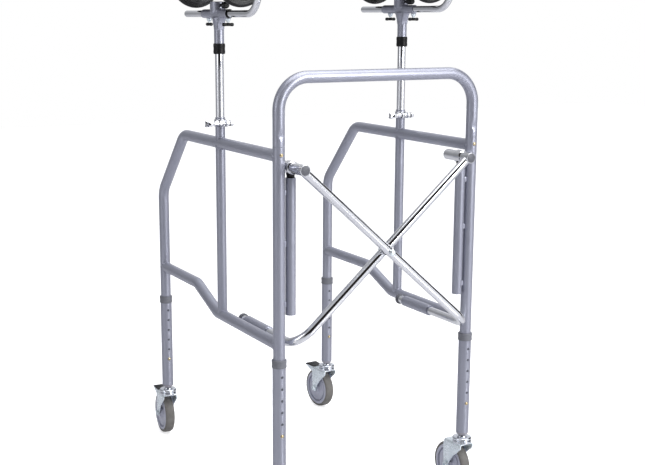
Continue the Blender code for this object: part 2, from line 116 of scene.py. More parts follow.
def light_room():
    """White to the eye; to the metal a tent brighter at one end, with the opening and the screen in it."""
    world = bpy.data.worlds.new("studio")
    bpy.context.scene.world = world
    world.use_nodes = True
    tree = world.node_tree
    tree.nodes.clear()
    out = tree.nodes.new("ShaderNodeOutputWorld")
    where = tree.nodes.new("ShaderNodeTexCoord")

    def facing(direction, low, high, curve="LINEAR"):
        towards = tree.nodes.new("ShaderNodeVectorMath")
        towards.operation = "DOT_PRODUCT"
        towards.inputs[1].default_value = Vector(direction).normalized()
        tree.links.new(where.outputs["Generated"], towards.inputs[0])
        return ranged(tree, towards.outputs["Value"], 0.0, 1.0, low, high, curve)

    opening = facing((-0.36, -0.86, 0.36), 0.80, 0.87, "SMOOTHSTEP")
    bright = facing((0.90, -0.38, 0.20), -0.75, 0.85)
    screen = facing((0.92, 0.04, 0.36), 0.885, 0.905)
    dark = tree.nodes.new("ShaderNodeMath")
    dark.operation = "MAXIMUM"
    tree.links.new(opening, dark.inputs[0])
    tree.links.new(screen, dark.inputs[1])
    walls = blend(tree, bright, (0.28, 0.285, 0.30), (1.05, 1.06, 1.10))
    inside = tree.nodes.new("ShaderNodeBackground")
    tree.links.new(blend(tree, dark.outputs[0], walls, (0.02, 0.017, 0.017)), inside.inputs["Color"])
    white = tree.nodes.new("ShaderNodeBackground")
    white.inputs["Color"].default_value = (1, 1, 1, 1)
    rays = tree.nodes.new("ShaderNodeLightPath")
    choose = tree.nodes.new("ShaderNodeMixShader")
    for source, socket in ((rays.outputs["Is Camera Ray"], 0), (inside.outputs[0], 1),
                           (white.outputs[0], 2)):
        tree.links.new(source, choose.inputs[socket])
    tree.links.new(choose.outputs[0], out.inputs["Surface"])


def lay_floor():
    """A sheet of white paper that glows a little, less so in what the metal mirrors."""
    sweep = bmesh.new()
    bmesh.ops.create_grid(sweep, x_segments=1, y_segments=1, size=9)
    floor = show("floor", keep_mesh("floor", sweep))
    floor.location = (0, 0, -0.0002)
    paper = bpy.data.materials.new("white_paper")
    paper.use_nodes = True
    tree = paper.node_tree
    shader = tree.nodes["Principled BSDF"]
    shader.inputs["Roughness"].default_value = 0.16
    shader.inputs["Emission Color"].default_value = (1, 1, 1, 1)
    rays = tree.nodes.new("ShaderNodeLightPath")
    glow = ranged(tree, rays.outputs["Is Camera Ray"], 0.04, 0.60)
    tree.links.new(glow, shader.inputs["Emission Strength"])
    tone = blend(tree, rays.outputs["Is Glossy Ray"], (0.86, 0.86, 0.87), (0.55, 0.55, 0.58))
    tree.links.new(tone, shader.inputs["Base Color"])
    floor.data.materials.append(paper)


light_room()
lay_floor()


# ---- Side frames ----
# Each side is a hoop of 25 mm steel tube with a front post, a slimmer middle post and a stepped
# lower rail, welded together and lacquered silver grey. Each front post carries a guide tube on tabs.

TUBE_R = 0.0127
MID_R = 0.011
MID_BORE = 0.0098
POST_FOOT = 0.171
RAIL_BEND = 0.050
STEP_BEND = 0.040
PIVOT_Z = 0.409


def middle(node):
    low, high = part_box(node)
    return (low + high) / 2


def bend_line(corners, radius, steps=12):
    """The centre line of a tube bent at each corner."""
    corners = [Vector(c) for c in corners]
    line = [corners[0]]
    for before, corner, after in zip(corners, corners[1:], corners[2:]):
        come = (corner - before).normalized()
        leave = (after - corner).normalized()
        turn = come.angle(leave)
        start = corner - come * radius * math.tan(turn / 2)
        axis = come.cross(leave).normalized()
        centre = start + axis.cross(come) * radius
        for i in range(steps + 1):
            line.append(centre + Matrix.Rotation(turn * i / steps, 3, axis) @ (start - centre))
    line.append(corners[-1])
    return line


def tube_ring(metal, line, i, radius, across, sides):
    point = line[i]
    come = (point - line[i - 1]).normalized() if i else (line[1] - point).normalized()
    leave = (line[i + 1] - point).normalized() if i + 1 < len(line) else come
    along = (come + leave).normalized()
    side = along.cross(across).normalized() / max(along.dot(come), 0.5)
    ring = []
    for k in range(sides):
        angle = 2 * math.pi * k / sides
        ring.append(metal.verts.new(point + (side * math.cos(angle) + across * math.sin(angle)) * radius))
    return ring


def bridge(metal, rings, closed=False):
    pairs = list(zip(rings, rings[1:]))
    if closed:
        pairs.append((rings[-1], rings[0]))
    for near, far in pairs:
        count = len(near)
        for k in range(count):
            m = (k + 1) % count
            metal.faces.new((near[k], near[m], far[m], far[k]))


def draw_tube(line, radius, across, wall=0.0014, sides=40):
    """A drawn tube along a line in one plane, open at both ends, with a small chamfer at each rim."""
    metal = bmesh.new()
    line = [Vector(p) for p in line]
    across = Vector(across).normalized()
    chamfer = 0.0004
    first = (line[1] - line[0]).normalized() * chamfer
    last = (line[-1] - line[-2]).normalized() * chamfer
    full = [line[0], line[0] + first] + line[1:-1] + [line[-1] - last, line[-1]]
    count = len(full)
    rings = []
    for i in range(count):
        rim = chamfer if i in (0, count - 1) else 0
        rings.append(tube_ring(metal, full, i, radius - rim, across, sides))
    for i in reversed(range(count)):
        rings.append(tube_ring(metal, full, i, radius - wall, across, sides))
    bridge(metal, rings, closed=True)
    return metal


def turn_profile(origin, axis, profile, sides=48, ring=False):
    """Turn a profile of (distance along the axis, radius) on a lathe."""
    metal = bmesh.new()
    origin = Vector(origin)
    axis = Vector(axis).normalized()
    side = Vector((1, 0, 0)) if abs(axis.x) < 0.5 else Vector((0, 1, 0))
    side = (side - axis * side.dot(axis)).normalized()
    other = axis.cross(side)
    rings = []
    for distance, radius in profile:
        turn = []
        for k in range(sides):
            angle = 2 * math.pi * k / sides
            offset = side * math.cos(angle) + other * math.sin(angle)
            turn.append(metal.verts.new(origin + axis * distance + offset * max(radius, 1e-5)))
        rings.append(turn)
    bridge(metal, rings, closed=ring)
    if not ring:
        metal.faces.new(rings[0])
        metal.faces.new(rings[-1])
    return metal


def plate(outline, low, high, place, bevel=0.0):
    """Extrude an outline of (u, v) points from low to high across, at a place."""
    metal = bmesh.new()
    loops = [[metal.verts.new(place @ Vector((w, u, v))) for u, v in outline] for w in (low, high)]
    bridge(metal, [loops[0], loops[1]])
    metal.faces.new(loops[0])
    metal.faces.new(loops[1])
    if bevel:
        bmesh.ops.recalc_face_normals(metal, faces=metal.faces)
        edges = [e for e in metal.edges if e.calc_face_angle(0) > 0.5]
        bmesh.ops.bevel(metal, geom=edges, offset=bevel, segments=2, affect="EDGES", profile=0.5)
    return metal


def rounded(low_u, low_v, high_u, high_v, radius, steps=5):
    """Corner points of a rounded rectangle."""
    points = []
    for cu, cv, start in ((high_u - radius, high_v - radius, 0), (low_u + radius, high_v - radius, 90),
                          (low_u + radius, low_v + radius, 180), (high_u - radius, low_v + radius, 270)):
        for i in range(steps + 1):
            angle = math.radians(start + 90 * i / steps)
            points.append((cu + radius * math.cos(angle), cv + radius * math.sin(angle)))
    return points


def fit(name, metal, finish, body, stands_for=()):
    """Make a piece from its mesh, give it a finish and fix it to its body."""
    bmesh.ops.remove_doubles(metal, verts=metal.verts, dist=1e-6)
    bmesh.ops.recalc_face_normals(metal, faces=metal.faces)
    piece = show(name, keep_mesh(name, metal))
    piece.data.materials.append(finish)
    smooth(piece)
    if body:
        fix(piece, body, stands_for)
    return piece


def smooth(piece):
    mesh = piece.data
    mesh.polygons.foreach_set("use_smooth", [True] * len(mesh.polygons))
    mesh.set_sharp_from_angle(angle=math.radians(32))


def fix(piece, body, stands_for=()):
    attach(piece, body)
    if stands_for:
        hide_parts(*stands_for)


class Finish:
    """A node-based finish, patterned on the piece's own coordinates."""

    def __init__(self, name, colour, metallic, roughness):
        self.material = bpy.data.materials.new(name)
        self.material.use_nodes = True
        self.tree = self.material.node_tree
        self.shader = self.tree.nodes["Principled BSDF"]
        self.shader.inputs["Metallic"].default_value = metallic
        self.shader.inputs["Roughness"].default_value = roughness
        self.shader.inputs["Base Color"].default_value = (*colour, 1)
        self.where = self.tree.nodes.new("ShaderNodeTexCoord")

    def stretched(self, scale):
        turn = self.tree.nodes.new("ShaderNodeMapping")
        turn.inputs["Scale"].default_value = scale
        self.tree.links.new(self.where.outputs["Object"], turn.inputs["Vector"])
        return turn.outputs["Vector"]

    def noise(self, scale, detail=3.0, source=None):
        node = self.tree.nodes.new("ShaderNodeTexNoise")
        node.inputs["Scale"].default_value = scale
        node.inputs["Detail"].default_value = detail
        self.tree.links.new(source or self.where.outputs["Object"], node.inputs["Vector"])
        return node.outputs["Fac"]

    def cells(self, scale, feature="F1"):
        node = self.tree.nodes.new("ShaderNodeTexVoronoi")
        node.feature = feature
        node.inputs["Scale"].default_value = scale
        self.tree.links.new(self.where.outputs["Object"], node.inputs["Vector"])
        return node.outputs["Distance"]

    def ranged(self, value, low, high, from_low=0.3, from_high=0.7):
        return ranged(self.tree, value, low, high, from_low, from_high)

    def blend(self, factor, first, second):
        return blend(self.tree, factor, first, second)

    def vary(self, patch, first, second, wear, low, high):
        """Patches of two colours, and a roughness that wanders, each on a noise of some scale and detail."""
        self.colour(self.blend(self.ranged(self.noise(*patch), 0, 1), first, second))
        self.roughness(self.ranged(self.noise(*wear), low, high))

    def colour(self, socket):
        self.tree.links.new(socket, self.shader.inputs["Base Color"])

    def roughness(self, socket):
        self.tree.links.new(socket, self.shader.inputs["Roughness"])

    def relief(self, height, strength, depth):
        node = self.tree.nodes.new("ShaderNodeBump")
        node.inputs["Strength"].default_value = strength
        node.inputs["Distance"].default_value = depth
        self.tree.links.new(height, node.inputs["Height"])
        self.tree.links.new(node.outputs["Normal"], self.shader.inputs["Normal"])

    def coat(self, weight, roughness):
        self.shader.inputs["Coat Weight"].default_value = weight
        self.shader.inputs["Coat Roughness"].default_value = roughness


def silver_lacquer():
    """Silver-grey lacquer with fine metal flake under a satin clear coat, and a soft orange peel."""
    paint = Finish("silver_lacquer", (0.31, 0.32, 0.385), 0.55, 0.36)
    flake = paint.ranged(paint.cells(2600), 0.0, 1.0, 0.1, 0.7)
    cloud = paint.ranged(paint.noise(9, 4), 0.0, 1.0)
    grain = paint.blend(flake, (0.275, 0.285, 0.350), (0.345, 0.355, 0.430))
    worn = paint.blend(cloud, (0.290, 0.300, 0.362), (0.335, 0.345, 0.405))
    paint.colour(paint.blend(0.45, grain, worn))
    paint.roughness(paint.ranged(paint.noise(60, 5), 0.31, 0.42))
    paint.relief(paint.noise(420, 2), 0.12, 0.0004)
    paint.coat(0.25, 0.16)
    return paint.material


LACQUER = silver_lacquer()


def weld_bead(name, joint, rail_axis, post_axis, rail_r, post_r, body):
    """A weld bead, with its ripples, where a rail's end meets the side of a post."""
    joint, rail_axis, post_axis = Vector(joint), Vector(rail_axis).normalized(), Vector(post_axis).normalized()
    across = rail_axis.cross(post_axis).normalized()
    steps = 96
    metal = bmesh.new()
    rings = []
    line = []
    for i in range(steps):
        angle = 2 * math.pi * i / steps
        side = rail_r * math.cos(angle)
        reach = math.sqrt(max(post_r ** 2 - side ** 2, 0.0))
        line.append(joint + across * side + post_axis * (rail_r * math.sin(angle)) + rail_axis * (reach + 0.0002))
    for i, point in enumerate(line):
        along = (line[(i + 1) % steps] - line[i - 1]).normalized()
        outward = (point - joint - rail_axis * (point - joint).dot(rail_axis)).normalized()
        other = along.cross(outward).normalized()
        outward = other.cross(along)
        size = 0.0015 + 0.00035 * math.sin(i * 2 * math.pi / 3)
        ring = []
        for k in range(8):
            turn = 2 * math.pi * k / 8
            ring.append(metal.verts.new(point + (outward * math.cos(turn) + other * math.sin(turn)) * size))
        rings.append(ring)
    bridge(metal, rings, closed=True)
    fit(name, metal, LACQUER, body)


def side_frame(side):
    body = f"{side}_frame"
    front, rear = middle(f"{side}_front_leg"), middle(f"{side}_rear_leg")
    x = front.x
    centre = middle(f"{side}_mid_post")
    inner = middle(f"{side}_slider").x
    rail_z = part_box(f"{side}_hoop")[1].z - TUBE_R
    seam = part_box(f"{side}_front_post")[1].z
    low_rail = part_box(f"{side}_lower_rail")[0].z + TUBE_R
    high_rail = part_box(f"{side}_lower_rail")[1].z - TUBE_R
    into = 0.006

    post = draw_tube([(x, front.y, POST_FOOT), (x, front.y, seam)], TUBE_R, (0, 1, 0))
    fit(f"{side}_front_post_tube", post, LACQUER, body, [f"{side}_front_post"])

    slope_top, slope_end = 0.504, 0.652
    corners = [(x, front.y + into, rail_z), (x, front.y + slope_top, rail_z), (x, rear.y, slope_end),
               (x, rear.y, POST_FOOT)]
    hoop = draw_tube(bend_line(corners, RAIL_BEND, 16), TUBE_R, (1, 0, 0))
    fit(f"{side}_hoop_tube", hoop, LACQUER, body, [f"{side}_hoop"])

    foot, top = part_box(f"{side}_mid_post")[0].z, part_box(f"{side}_mid_post")[1].z
    post = draw_tube([(x, centre.y, foot), (x, centre.y, top)], MID_R, (0, 1, 0), MID_R - MID_BORE)
    fit(f"{side}_mid_post_tube", post, LACQUER, body, [f"{side}_mid_post"])

    step = (0.315, 0.435)
    corners = [(x, front.y + into, low_rail), (x, front.y + step[0], low_rail),
               (x, front.y + step[1], high_rail), (x, rear.y - into, high_rail)]
    rail = draw_tube(bend_line(corners, STEP_BEND, 10), TUBE_R, (1, 0, 0))
    fit(f"{side}_lower_rail_tube", rail, LACQUER, body, [f"{side}_lower_rail"])

    guide_z, guide_r, guide_bore = (0.472, 0.761), 0.011, 0.0094
    guide = draw_tube([(inner, front.y, guide_z[0]), (inner, front.y, guide_z[1])], guide_r, (0, 1, 0),
                      guide_r - guide_bore)
    fit(f"{side}_guide_tube", guide, LACQUER, body)
    for number, z in enumerate((0.495, 0.625, 0.731)):
        near, far = sorted((inner, x))
        outline = rounded(z - 0.006, -0.004, z + 0.006, 0.004, 0.0015)
        place = Matrix(((1, 0, 0, 0), (0, 0, 1, front.y), (0, 1, 0, 0), (0, 0, 0, 1)))
        tab = plate(outline, near + guide_r - 0.001, far - TUBE_R + 0.001, place, 0.0005)
        fit(f"{side}_guide_tab_{number + 1}", tab, LACQUER, body)

    sleeve_y, sleeve_r = (0.104, 0.211), 0.0125
    sleeve = draw_tube([(inner, front.y + sleeve_y[0], PIVOT_Z), (inner, front.y + sleeve_y[1], PIVOT_Z)],
                       sleeve_r, (1, 0, 0), sleeve_r - 0.0097)
    fit(f"{side}_pivot_sleeve", sleeve, LACQUER, body)
    near, far = sorted((inner + math.copysign(0.0115, x), x - math.copysign(0.011, x)))
    outline = rounded(front.y + sleeve_y[0] + 0.006, PIVOT_Z - 0.004, front.y + sleeve_y[1] - 0.006,
                      PIVOT_Z + 0.004, 0.002)
    fit(f"{side}_sleeve_web", plate(outline, near, far, Matrix.Identity(4), 0.0006), LACQUER, body)

    welds = (("rail_front", (x, front.y, rail_z), (0, 1, 0), TUBE_R, TUBE_R),
             ("low_front", (x, front.y, low_rail), (0, 1, 0), TUBE_R, TUBE_R),
             ("low_rear", (x, rear.y, high_rail), (0, -1, 0), TUBE_R, TUBE_R))
    for label, joint, axis, rail_r, post_r in welds:
        weld_bead(f"{side}_weld_{label}", joint, axis, (0, 0, 1), rail_r, post_r, body)
    for label, joint, axis in (("mid_top", (x, centre.y, rail_z), (0, 0, 1)),
                               ("mid_under", (x, centre.y, rail_z), (0, 0, -1)),
                               ("mid_foot", (x, centre.y, low_rail), (0, 0, 1))):
        weld_bead(f"{side}_weld_{label}", joint, axis, (0, 1, 0), MID_R, TUBE_R, body)


for side in ("left", "right"):
    side_frame(side)


# ---- Snap buttons ----
# Sprung brass buttons: one through each front post for the arch, and one through each outer leg.

BUTTON_R = 0.0038


def turned_brass():
    brass = Finish("turned_brass", (0.62, 0.50, 0.30), 1.0, 0.26)
    brass.vary((300, 3), (0.70, 0.58, 0.36), (0.52, 0.42, 0.25), (900, 2), 0.20, 0.36)
    return brass.material


BRASS = turned_brass()


def snap_button(node, body):
    low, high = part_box(node)
    centre = (low + high) / 2
    dome = [(0, 0.0003)]
    dome += [(0.0020 - 0.0020 * math.cos(math.radians(a)), BUTTON_R * math.sin(math.radians(a)))
             for a in range(15, 91, 15)]
    dome += [(high.y - low.y, BUTTON_R)]
    button = turn_profile((centre.x, low.y, centre.z), (0, 1, 0), dome, 24)
    fit(f"{node}_dome", button, BRASS, body, [node])


for side in ("left", "right"):
    snap_button(f"{side}_arch_button", f"{side}_arch_button_body")
    for end in ("front", "rear"):
        snap_button(f"{side}_{end}_leg_button", f"{side}_{end}_button_body")


# ---- Arch ----
# The front arch is one bent tube that lifts off the front posts. Each leg is pinched in front, just
# above the joint, by the press that crimps it.

def front_arch():
    left, right = middle("left_front_leg"), middle("right_front_leg")
    foot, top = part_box("arch")[0].z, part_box("arch")[1].z - TUBE_R
    bend = 0.066
    crimp_z, crimp_depth = 0.846, 0.0022
    corners = [(left.x, left.y, foot), (left.x, left.y, top), (right.x, left.y, top),
               (right.x, left.y, foot)]
    line = bend_line(corners, bend, 22)
    leg = [Vector((left.x, left.y, foot + 0.002 * i)) for i in range(1, 22)]
    far = [Vector((right.x, left.y, p.z)) for p in reversed(leg)]
    line = [line[0]] + leg + line[1:-1] + far + [line[-1]]
    arch = draw_tube(line, TUBE_R, (0, 1, 0), sides=56)
    for vert in arch.verts:
        side_x = left.x if vert.co.x < 0 else right.x
        if vert.co.z < crimp_z + 0.03 and vert.co.y < left.y:
            sideways = (vert.co.x - side_x) / 0.0075
            upward = (vert.co.z - crimp_z) / (0.0055 if vert.co.z < crimp_z else 0.0105)
            vert.co.y += crimp_depth * math.exp(-sideways ** 2 - upward ** 2)
    fit("arch_tube", arch, LACQUER, "arch_body", ["arch"])


front_arch()


# ---- Cross brace ----
# Two chromed tubes cross behind a bolt. Each is bent back at its foot into a pivot that turns in the
# side frame's sleeve, and carries a short cross tube at its head, closed in front by a grey plug.

BRACE_R = 0.0095
TOP_TUBE_R = 0.0115
BRACE_WALL = 0.0015
TOP_TUBE_Z = 0.782
BRACE_Y = {"a": -0.050, "b": -0.028}
TOP_TUBE_Y = {"a": (-0.065, 0.050), "b": (-0.040, 0.050)}


def bright_chrome():
    """Polished chrome, with faint draw lines along the tube and a few dull finger marks."""
    chrome = Finish("bright_chrome", (0.80, 0.81, 0.83), 1.0, 0.08)
    chrome.vary((14, 4), (0.83, 0.84, 0.86), (0.75, 0.76, 0.79), (30, 5), 0.05, 0.13)
    chrome.relief(chrome.noise(160, 2), 0.05, 0.0003)
    return chrome.material


def moulded_plastic(name, colour, lighter, roughness, shine=0.5):
    """Injection-moulded plastic with a fine spark-eroded texture."""
    plastic = Finish(name, colour, 0.0, roughness)
    plastic.shader.inputs["Specular IOR Level"].default_value = shine
    plastic.vary((25, 4), colour, lighter, (200, 3), roughness - 0.06, roughness + 0.08)
    plastic.relief(plastic.noise(1500, 2), 0.15, 0.0003)
    return plastic.material


def post_chrome():
    """Dull chrome on the sliding posts, rubbed by the clamps, left bright under the T-head."""
    steel = Finish("post_chrome", (0.74, 0.75, 0.78), 1.0, 0.30)
    height = steel.tree.nodes.new("ShaderNodeSeparateXYZ")
    steel.tree.links.new(steel.where.outputs["Object"], height.inputs[0])
    steel.colour(steel.blend(steel.ranged(steel.noise(18, 4), 0, 1), (0.78, 0.79, 0.82),
                             (0.70, 0.71, 0.75)))
    steel.roughness(steel.ranged(height.outputs["Z"], 0.34, 0.07, 0.965, 0.985))
    steel.relief(steel.noise(400, 2, steel.stretched((1, 1, 0.04))), 0.06, 0.0002)
    return steel.material


def zinc_plate():
    """Bright zinc plating with its blue-white passivation and a faint spangle."""
    zinc = Finish("zinc_plate", (0.80, 0.87, 0.92), 0.8, 0.30)
    zinc.vary((45, 5), (0.88, 0.95, 0.99), (0.74, 0.81, 0.86), (260, 4), 0.22, 0.40)
    zinc.relief(zinc.noise(900, 3), 0.10, 0.0002)
    return zinc.material


CHROME = bright_chrome()
POST_CHROME = post_chrome()
ZINC = zinc_plate()
GREY_PLASTIC = moulded_plastic("grey_plastic", (0.085, 0.088, 0.105), (0.110, 0.114, 0.134), 0.45)
COLLAR_PLASTIC = moulded_plastic("collar_plastic", (0.130, 0.135, 0.155), (0.160, 0.165, 0.190), 0.40)
# The dark grey of the painted shade behind the leg holes: it stands for the post in shade, not for a plastic
# part.
PAINTED_HOLE_SHADE = moulded_plastic("painted_hole_shade", (0.100, 0.103, 0.125), (0.125, 0.130, 0.155), 0.60, 0.2)
PLUG_PLASTIC = moulded_plastic("plug_plastic", (0.30, 0.29, 0.33), (0.36, 0.35, 0.40), 0.42)
BLACK_PLASTIC = moulded_plastic("black_plastic", (0.004, 0.004, 0.005), (0.008, 0.008, 0.009), 0.40, 0.25)


def brace(label, foot_side):
    body = f"brace_{label}_body"
    front_y = middle("left_front_leg").y
    pivot_x = abs(middle("left_slider").x)
    y = front_y + BRACE_Y[label]
    foot = Vector((foot_side * pivot_x, y, PIVOT_Z))
    head = Vector((-foot_side * pivot_x, y, TOP_TUBE_Z))
    end = Vector((foot.x, front_y + 0.238, PIVOT_Z))
    across = (head - foot).cross(Vector((0, 1, 0))).normalized()
    line = bend_line([head, foot, end], 0.050, 20)
    fit(f"brace_{label}_tube", draw_tube(line, BRACE_R, across, BRACE_WALL, 48), CHROME, body,
        [f"brace_{label}"])
    front, rear = (front_y + v for v in TOP_TUBE_Y[label])
    top = draw_tube([(head.x, front, TOP_TUBE_Z), (head.x, rear, TOP_TUBE_Z)], TOP_TUBE_R, (1, 0, 0),
                    0.0015, 48)
    fit(f"brace_{label}_cross_tube", top, CHROME, body)
    plug = [(-0.0004, 0.0002), (-0.0004, 0.0080), (0.0002, 0.0092), (0.0002, 0.0102), (0.0012, 0.0104),
            (0.0012, 0.0098), (0.010, 0.0096)]
    fit(f"brace_{label}_plug", turn_profile((head.x, front, TOP_TUBE_Z), (0, 1, 0), plug), GREY_PLASTIC,
        body)
    ring = [(-0.0030, 0.0096), (-0.0030, 0.0118), (-0.0022, 0.0124), (0.0022, 0.0124), (0.0030, 0.0118),
            (0.0030, 0.0096)]
    stop = turn_profile((foot.x, front_y + 0.2345, PIVOT_Z), (0, 1, 0), ring, ring=True)
    fit(f"brace_{label}_stop_ring", stop, GREY_PLASTIC, body)
    cap = [(-0.004, 0.0078), (0.0, 0.0078), (0.0006, 0.0070), (0.0006, 0.0003)]
    fit(f"brace_{label}_end_cap", turn_profile(end, (0, 1, 0), cap), GREY_PLASTIC, body)


def cross_bolt():
    """The bolt through both braces: a domed head, a washer between them and a locking nut behind."""
    low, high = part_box("cross_bolt")
    centre = (low + high) / 2
    origin = (centre.x, 0, centre.z)
    front = low.y
    head = [(front, 0.0004), (front + 0.0002, 0.0030), (front + 0.0010, 0.0055), (front + 0.0024, 0.0070),
            (front + 0.0045, 0.0075), (front + 0.0057, 0.0072), (front + 0.0057, 0.0040),
            (high.y - 0.001, 0.0040), (high.y, 0.0034), (high.y, 0.0003)]
    fit("cross_bolt_shank", turn_profile(origin, (0, 1, 0), head), ZINC, "brace_b_body", ["cross_bolt"])
    washer = [(low.y + 0.0253, 0.0041), (low.y + 0.0253, 0.0088), (low.y + 0.0255, 0.0090),
              (low.y + 0.0275, 0.0090), (low.y + 0.0277, 0.0088), (low.y + 0.0277, 0.0041)]
    fit("cross_bolt_washer", turn_profile(origin, (0, 1, 0), washer, ring=True), GREY_PLASTIC,
        "brace_b_body")
    nut_low = high.y - 0.0052
    nut = [(nut_low, 0.0041), (nut_low, 0.0068), (nut_low + 0.0007, 0.0075), (high.y - 0.0012, 0.0075),
           (high.y - 0.0005, 0.0066), (high.y - 0.0005, 0.0041)]
    fit("cross_bolt_nut", turn_profile(origin, (0, 1, 0), nut, 6, ring=True), ZINC, "brace_b_body")


def slider(side):
    """A thin chromed band on the cross tube, over a black rod that runs down in the guide tube."""
    body = f"{side}_slider_body"
    low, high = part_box(f"{side}_slider")
    x = (low.x + high.x) / 2
    y = (low.y + high.y) / 2
    z = TOP_TUBE_Z
    half = (high.y - low.y) / 2
    ring = [(-half, 0.0117), (-half, 0.0130), (-half + 0.0008, 0.01375), (half - 0.0008, 0.01375),
            (half, 0.0130), (half, 0.0117)]
    fit(f"{side}_slider_eye", turn_profile((x, y, z), (0, 1, 0), ring, ring=True), CHROME, body,
        [f"{side}_slider"])
    rod = [(low.z, 0.0004), (low.z, 0.0070), (low.z + 0.0015, 0.0085), (z - 0.0165, 0.0085),
           (z - 0.0125, 0.0100),
           (z - 0.0123, 0.0004)]
    fit(f"{side}_slider_rod", turn_profile((x, y, 0), (0, 0, 1), rod), BLACK_PLASTIC, body)


brace("a", 1)
brace("b", -1)
cross_bolt()
for side in ("left", "right"):
    slider(side)


# ---- Outer legs ----
# Each leg is a wider lacquered tube that slides on its post, with a row of punched height holes in
# front, a dark grey sheet behind them as painted shade on the post, and a grey plastic collar round its top.

LEG_R = 0.0143
LEG_BORE = 0.0130


def evaluated(thing):
    return bpy.data.meshes.new_from_object(thing.evaluated_get(bpy.context.evaluated_depsgraph_get()))


def settle(piece):
    """Turn a piece's modifiers into plain mesh, and keep its finish."""
    old, finish = piece.data, piece.data.materials[0]
    made = evaluated(piece)
    piece.modifiers.clear()
    piece.data = made
    made.materials.clear()
    made.materials.append(finish)
    bpy.data.meshes.remove(old)


def cut(piece, cutter, operation="DIFFERENCE", edge=0.0):
    """Cut a piece with another shape, or trim it to the inside of one, and round the new edges."""
    bmesh.ops.recalc_face_normals(cutter, faces=cutter.faces)
    mesh = keep_mesh("cutter", cutter)
    tool = show("cutter", mesh)
    press = piece.modifiers.new("press", "BOOLEAN")
    press.object = tool
    press.operation = operation
    press.solver = "EXACT"
    if edge:
        rounding = piece.modifiers.new("rounding", "BEVEL")
        rounding.width = edge
        rounding.segments = 2
        rounding.limit_method = "ANGLE"
        rounding.angle_limit = math.radians(50)
    settle(piece)
    bpy.data.objects.remove(tool)
    bpy.data.meshes.remove(mesh)
    smooth(piece)


def outer_leg(side, end):
    body = f"{side}_{end}_leg_body"
    low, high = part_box(f"{side}_{end}_leg")
    x, y = (low.x + high.x) / 2, (low.y + high.y) / 2
    button_z, pitch, count = 0.2115, 0.026, 6
    tube = draw_tube([(x, y, low.z), (x, y, high.z)], LEG_R, (0, 1, 0), LEG_R - LEG_BORE, 56)
    leg = fit(f"{side}_{end}_leg_tube", tube, LACQUER, None)
    holes = bmesh.new()
    for n in range(count):
        radius = BUTTON_R + 0.0003 if n == 0 else 0.0030
        turn = Matrix.Translation((x, y - LEG_R, button_z + pitch * n)) @ Matrix.Rotation(math.pi / 2, 4,
                                                                                          "X")
        bmesh.ops.create_cone(holes, cap_ends=True, segments=20, radius1=radius, radius2=radius,
                              depth=0.008,
                              matrix=turn)
    cut(leg, holes)
    fix(leg, body, [f"{side}_{end}_leg"])
    # Painted shade: a thin dark grey sheet between post and leg, standing for the post's surface in shade as seen
    # through the holes.
    shadow = turn_profile((x, y, 0), (0, 0, 1), [(button_z - 0.006, 0.01285), (button_z - 0.006, 0.01297),
                          (button_z + 0.138, 0.01297), (button_z + 0.138, 0.01285)], 48, ring=True)
    fit(f"{side}_{end}_leg_hole_shade", shadow, PAINTED_HOLE_SHADE, body)
    top = high.z + 0.0020
    collar = [(-0.0175, LEG_R - 0.0002), (-0.0175, 0.0153), (-0.0168, 0.0160), (-0.0135, 0.0161),
              (-0.0130, 0.0157), (-0.0070, 0.0157), (-0.0065, 0.0161), (-0.0012, 0.0160), (-0.0003, 0.0152),
              (0.0, 0.0145), (0.0, TUBE_R + 0.0002), (-0.0025, TUBE_R + 0.0002), (-0.0025, LEG_R - 0.0002)]
    ring = turn_profile((x, y, top), (0, 0, 1), collar, ring=True)
    fit(f"{side}_{end}_leg_collar", ring, COLLAR_PLASTIC, body)


for side in ("left", "right"):
    for end in ("front", "rear"):
        outer_leg(side, end)


# ---- Casters ----
# 106 mm wheels, a grey rubber tyre on a lavender-grey hub, in a pressed zinc fork that swivels on a
# double ball race under a plastic plug. The rear pair has a brake pedal with a black cover.

WHEEL_R = 0.053
TRAIL = 0.033
FORK_TOP = 0.1145
SWIVEL_TOP = 0.1315
PEDAL_Z = 0.1130
TRAIL_TURN = {"left_front": 0.0, "right_front": 4.0, "left_rear": -4.0, "right_rear": 6.0}


def tyre_rubber():
    """Grey-brown non-marking rubber, slightly scuffed round the tread."""
    rubber = Finish("tyre_rubber", (0.13, 0.125, 0.118), 0.0, 0.62)
    rubber.vary((60, 6), (0.115, 0.110, 0.104), (0.165, 0.158, 0.150), (180, 4), 0.52, 0.75)
    rubber.relief(rubber.noise(1100, 4), 0.25, 0.0003)
    return rubber.material


def bright_zinc():
    """The ball race's polished zinc, brighter than the pressed fork."""
    zinc = Finish("bright_zinc", (0.72, 0.75, 0.80), 1.0, 0.14)
    zinc.vary((70, 4), (0.76, 0.79, 0.84), (0.62, 0.65, 0.71), (300, 3), 0.10, 0.20)
    return zinc.material


TYRE = tyre_rubber()
BRIGHT_ZINC = bright_zinc()
HUB_PLASTIC = moulded_plastic("hub_plastic", (0.40, 0.41, 0.50), (0.46, 0.47, 0.56), 0.34)


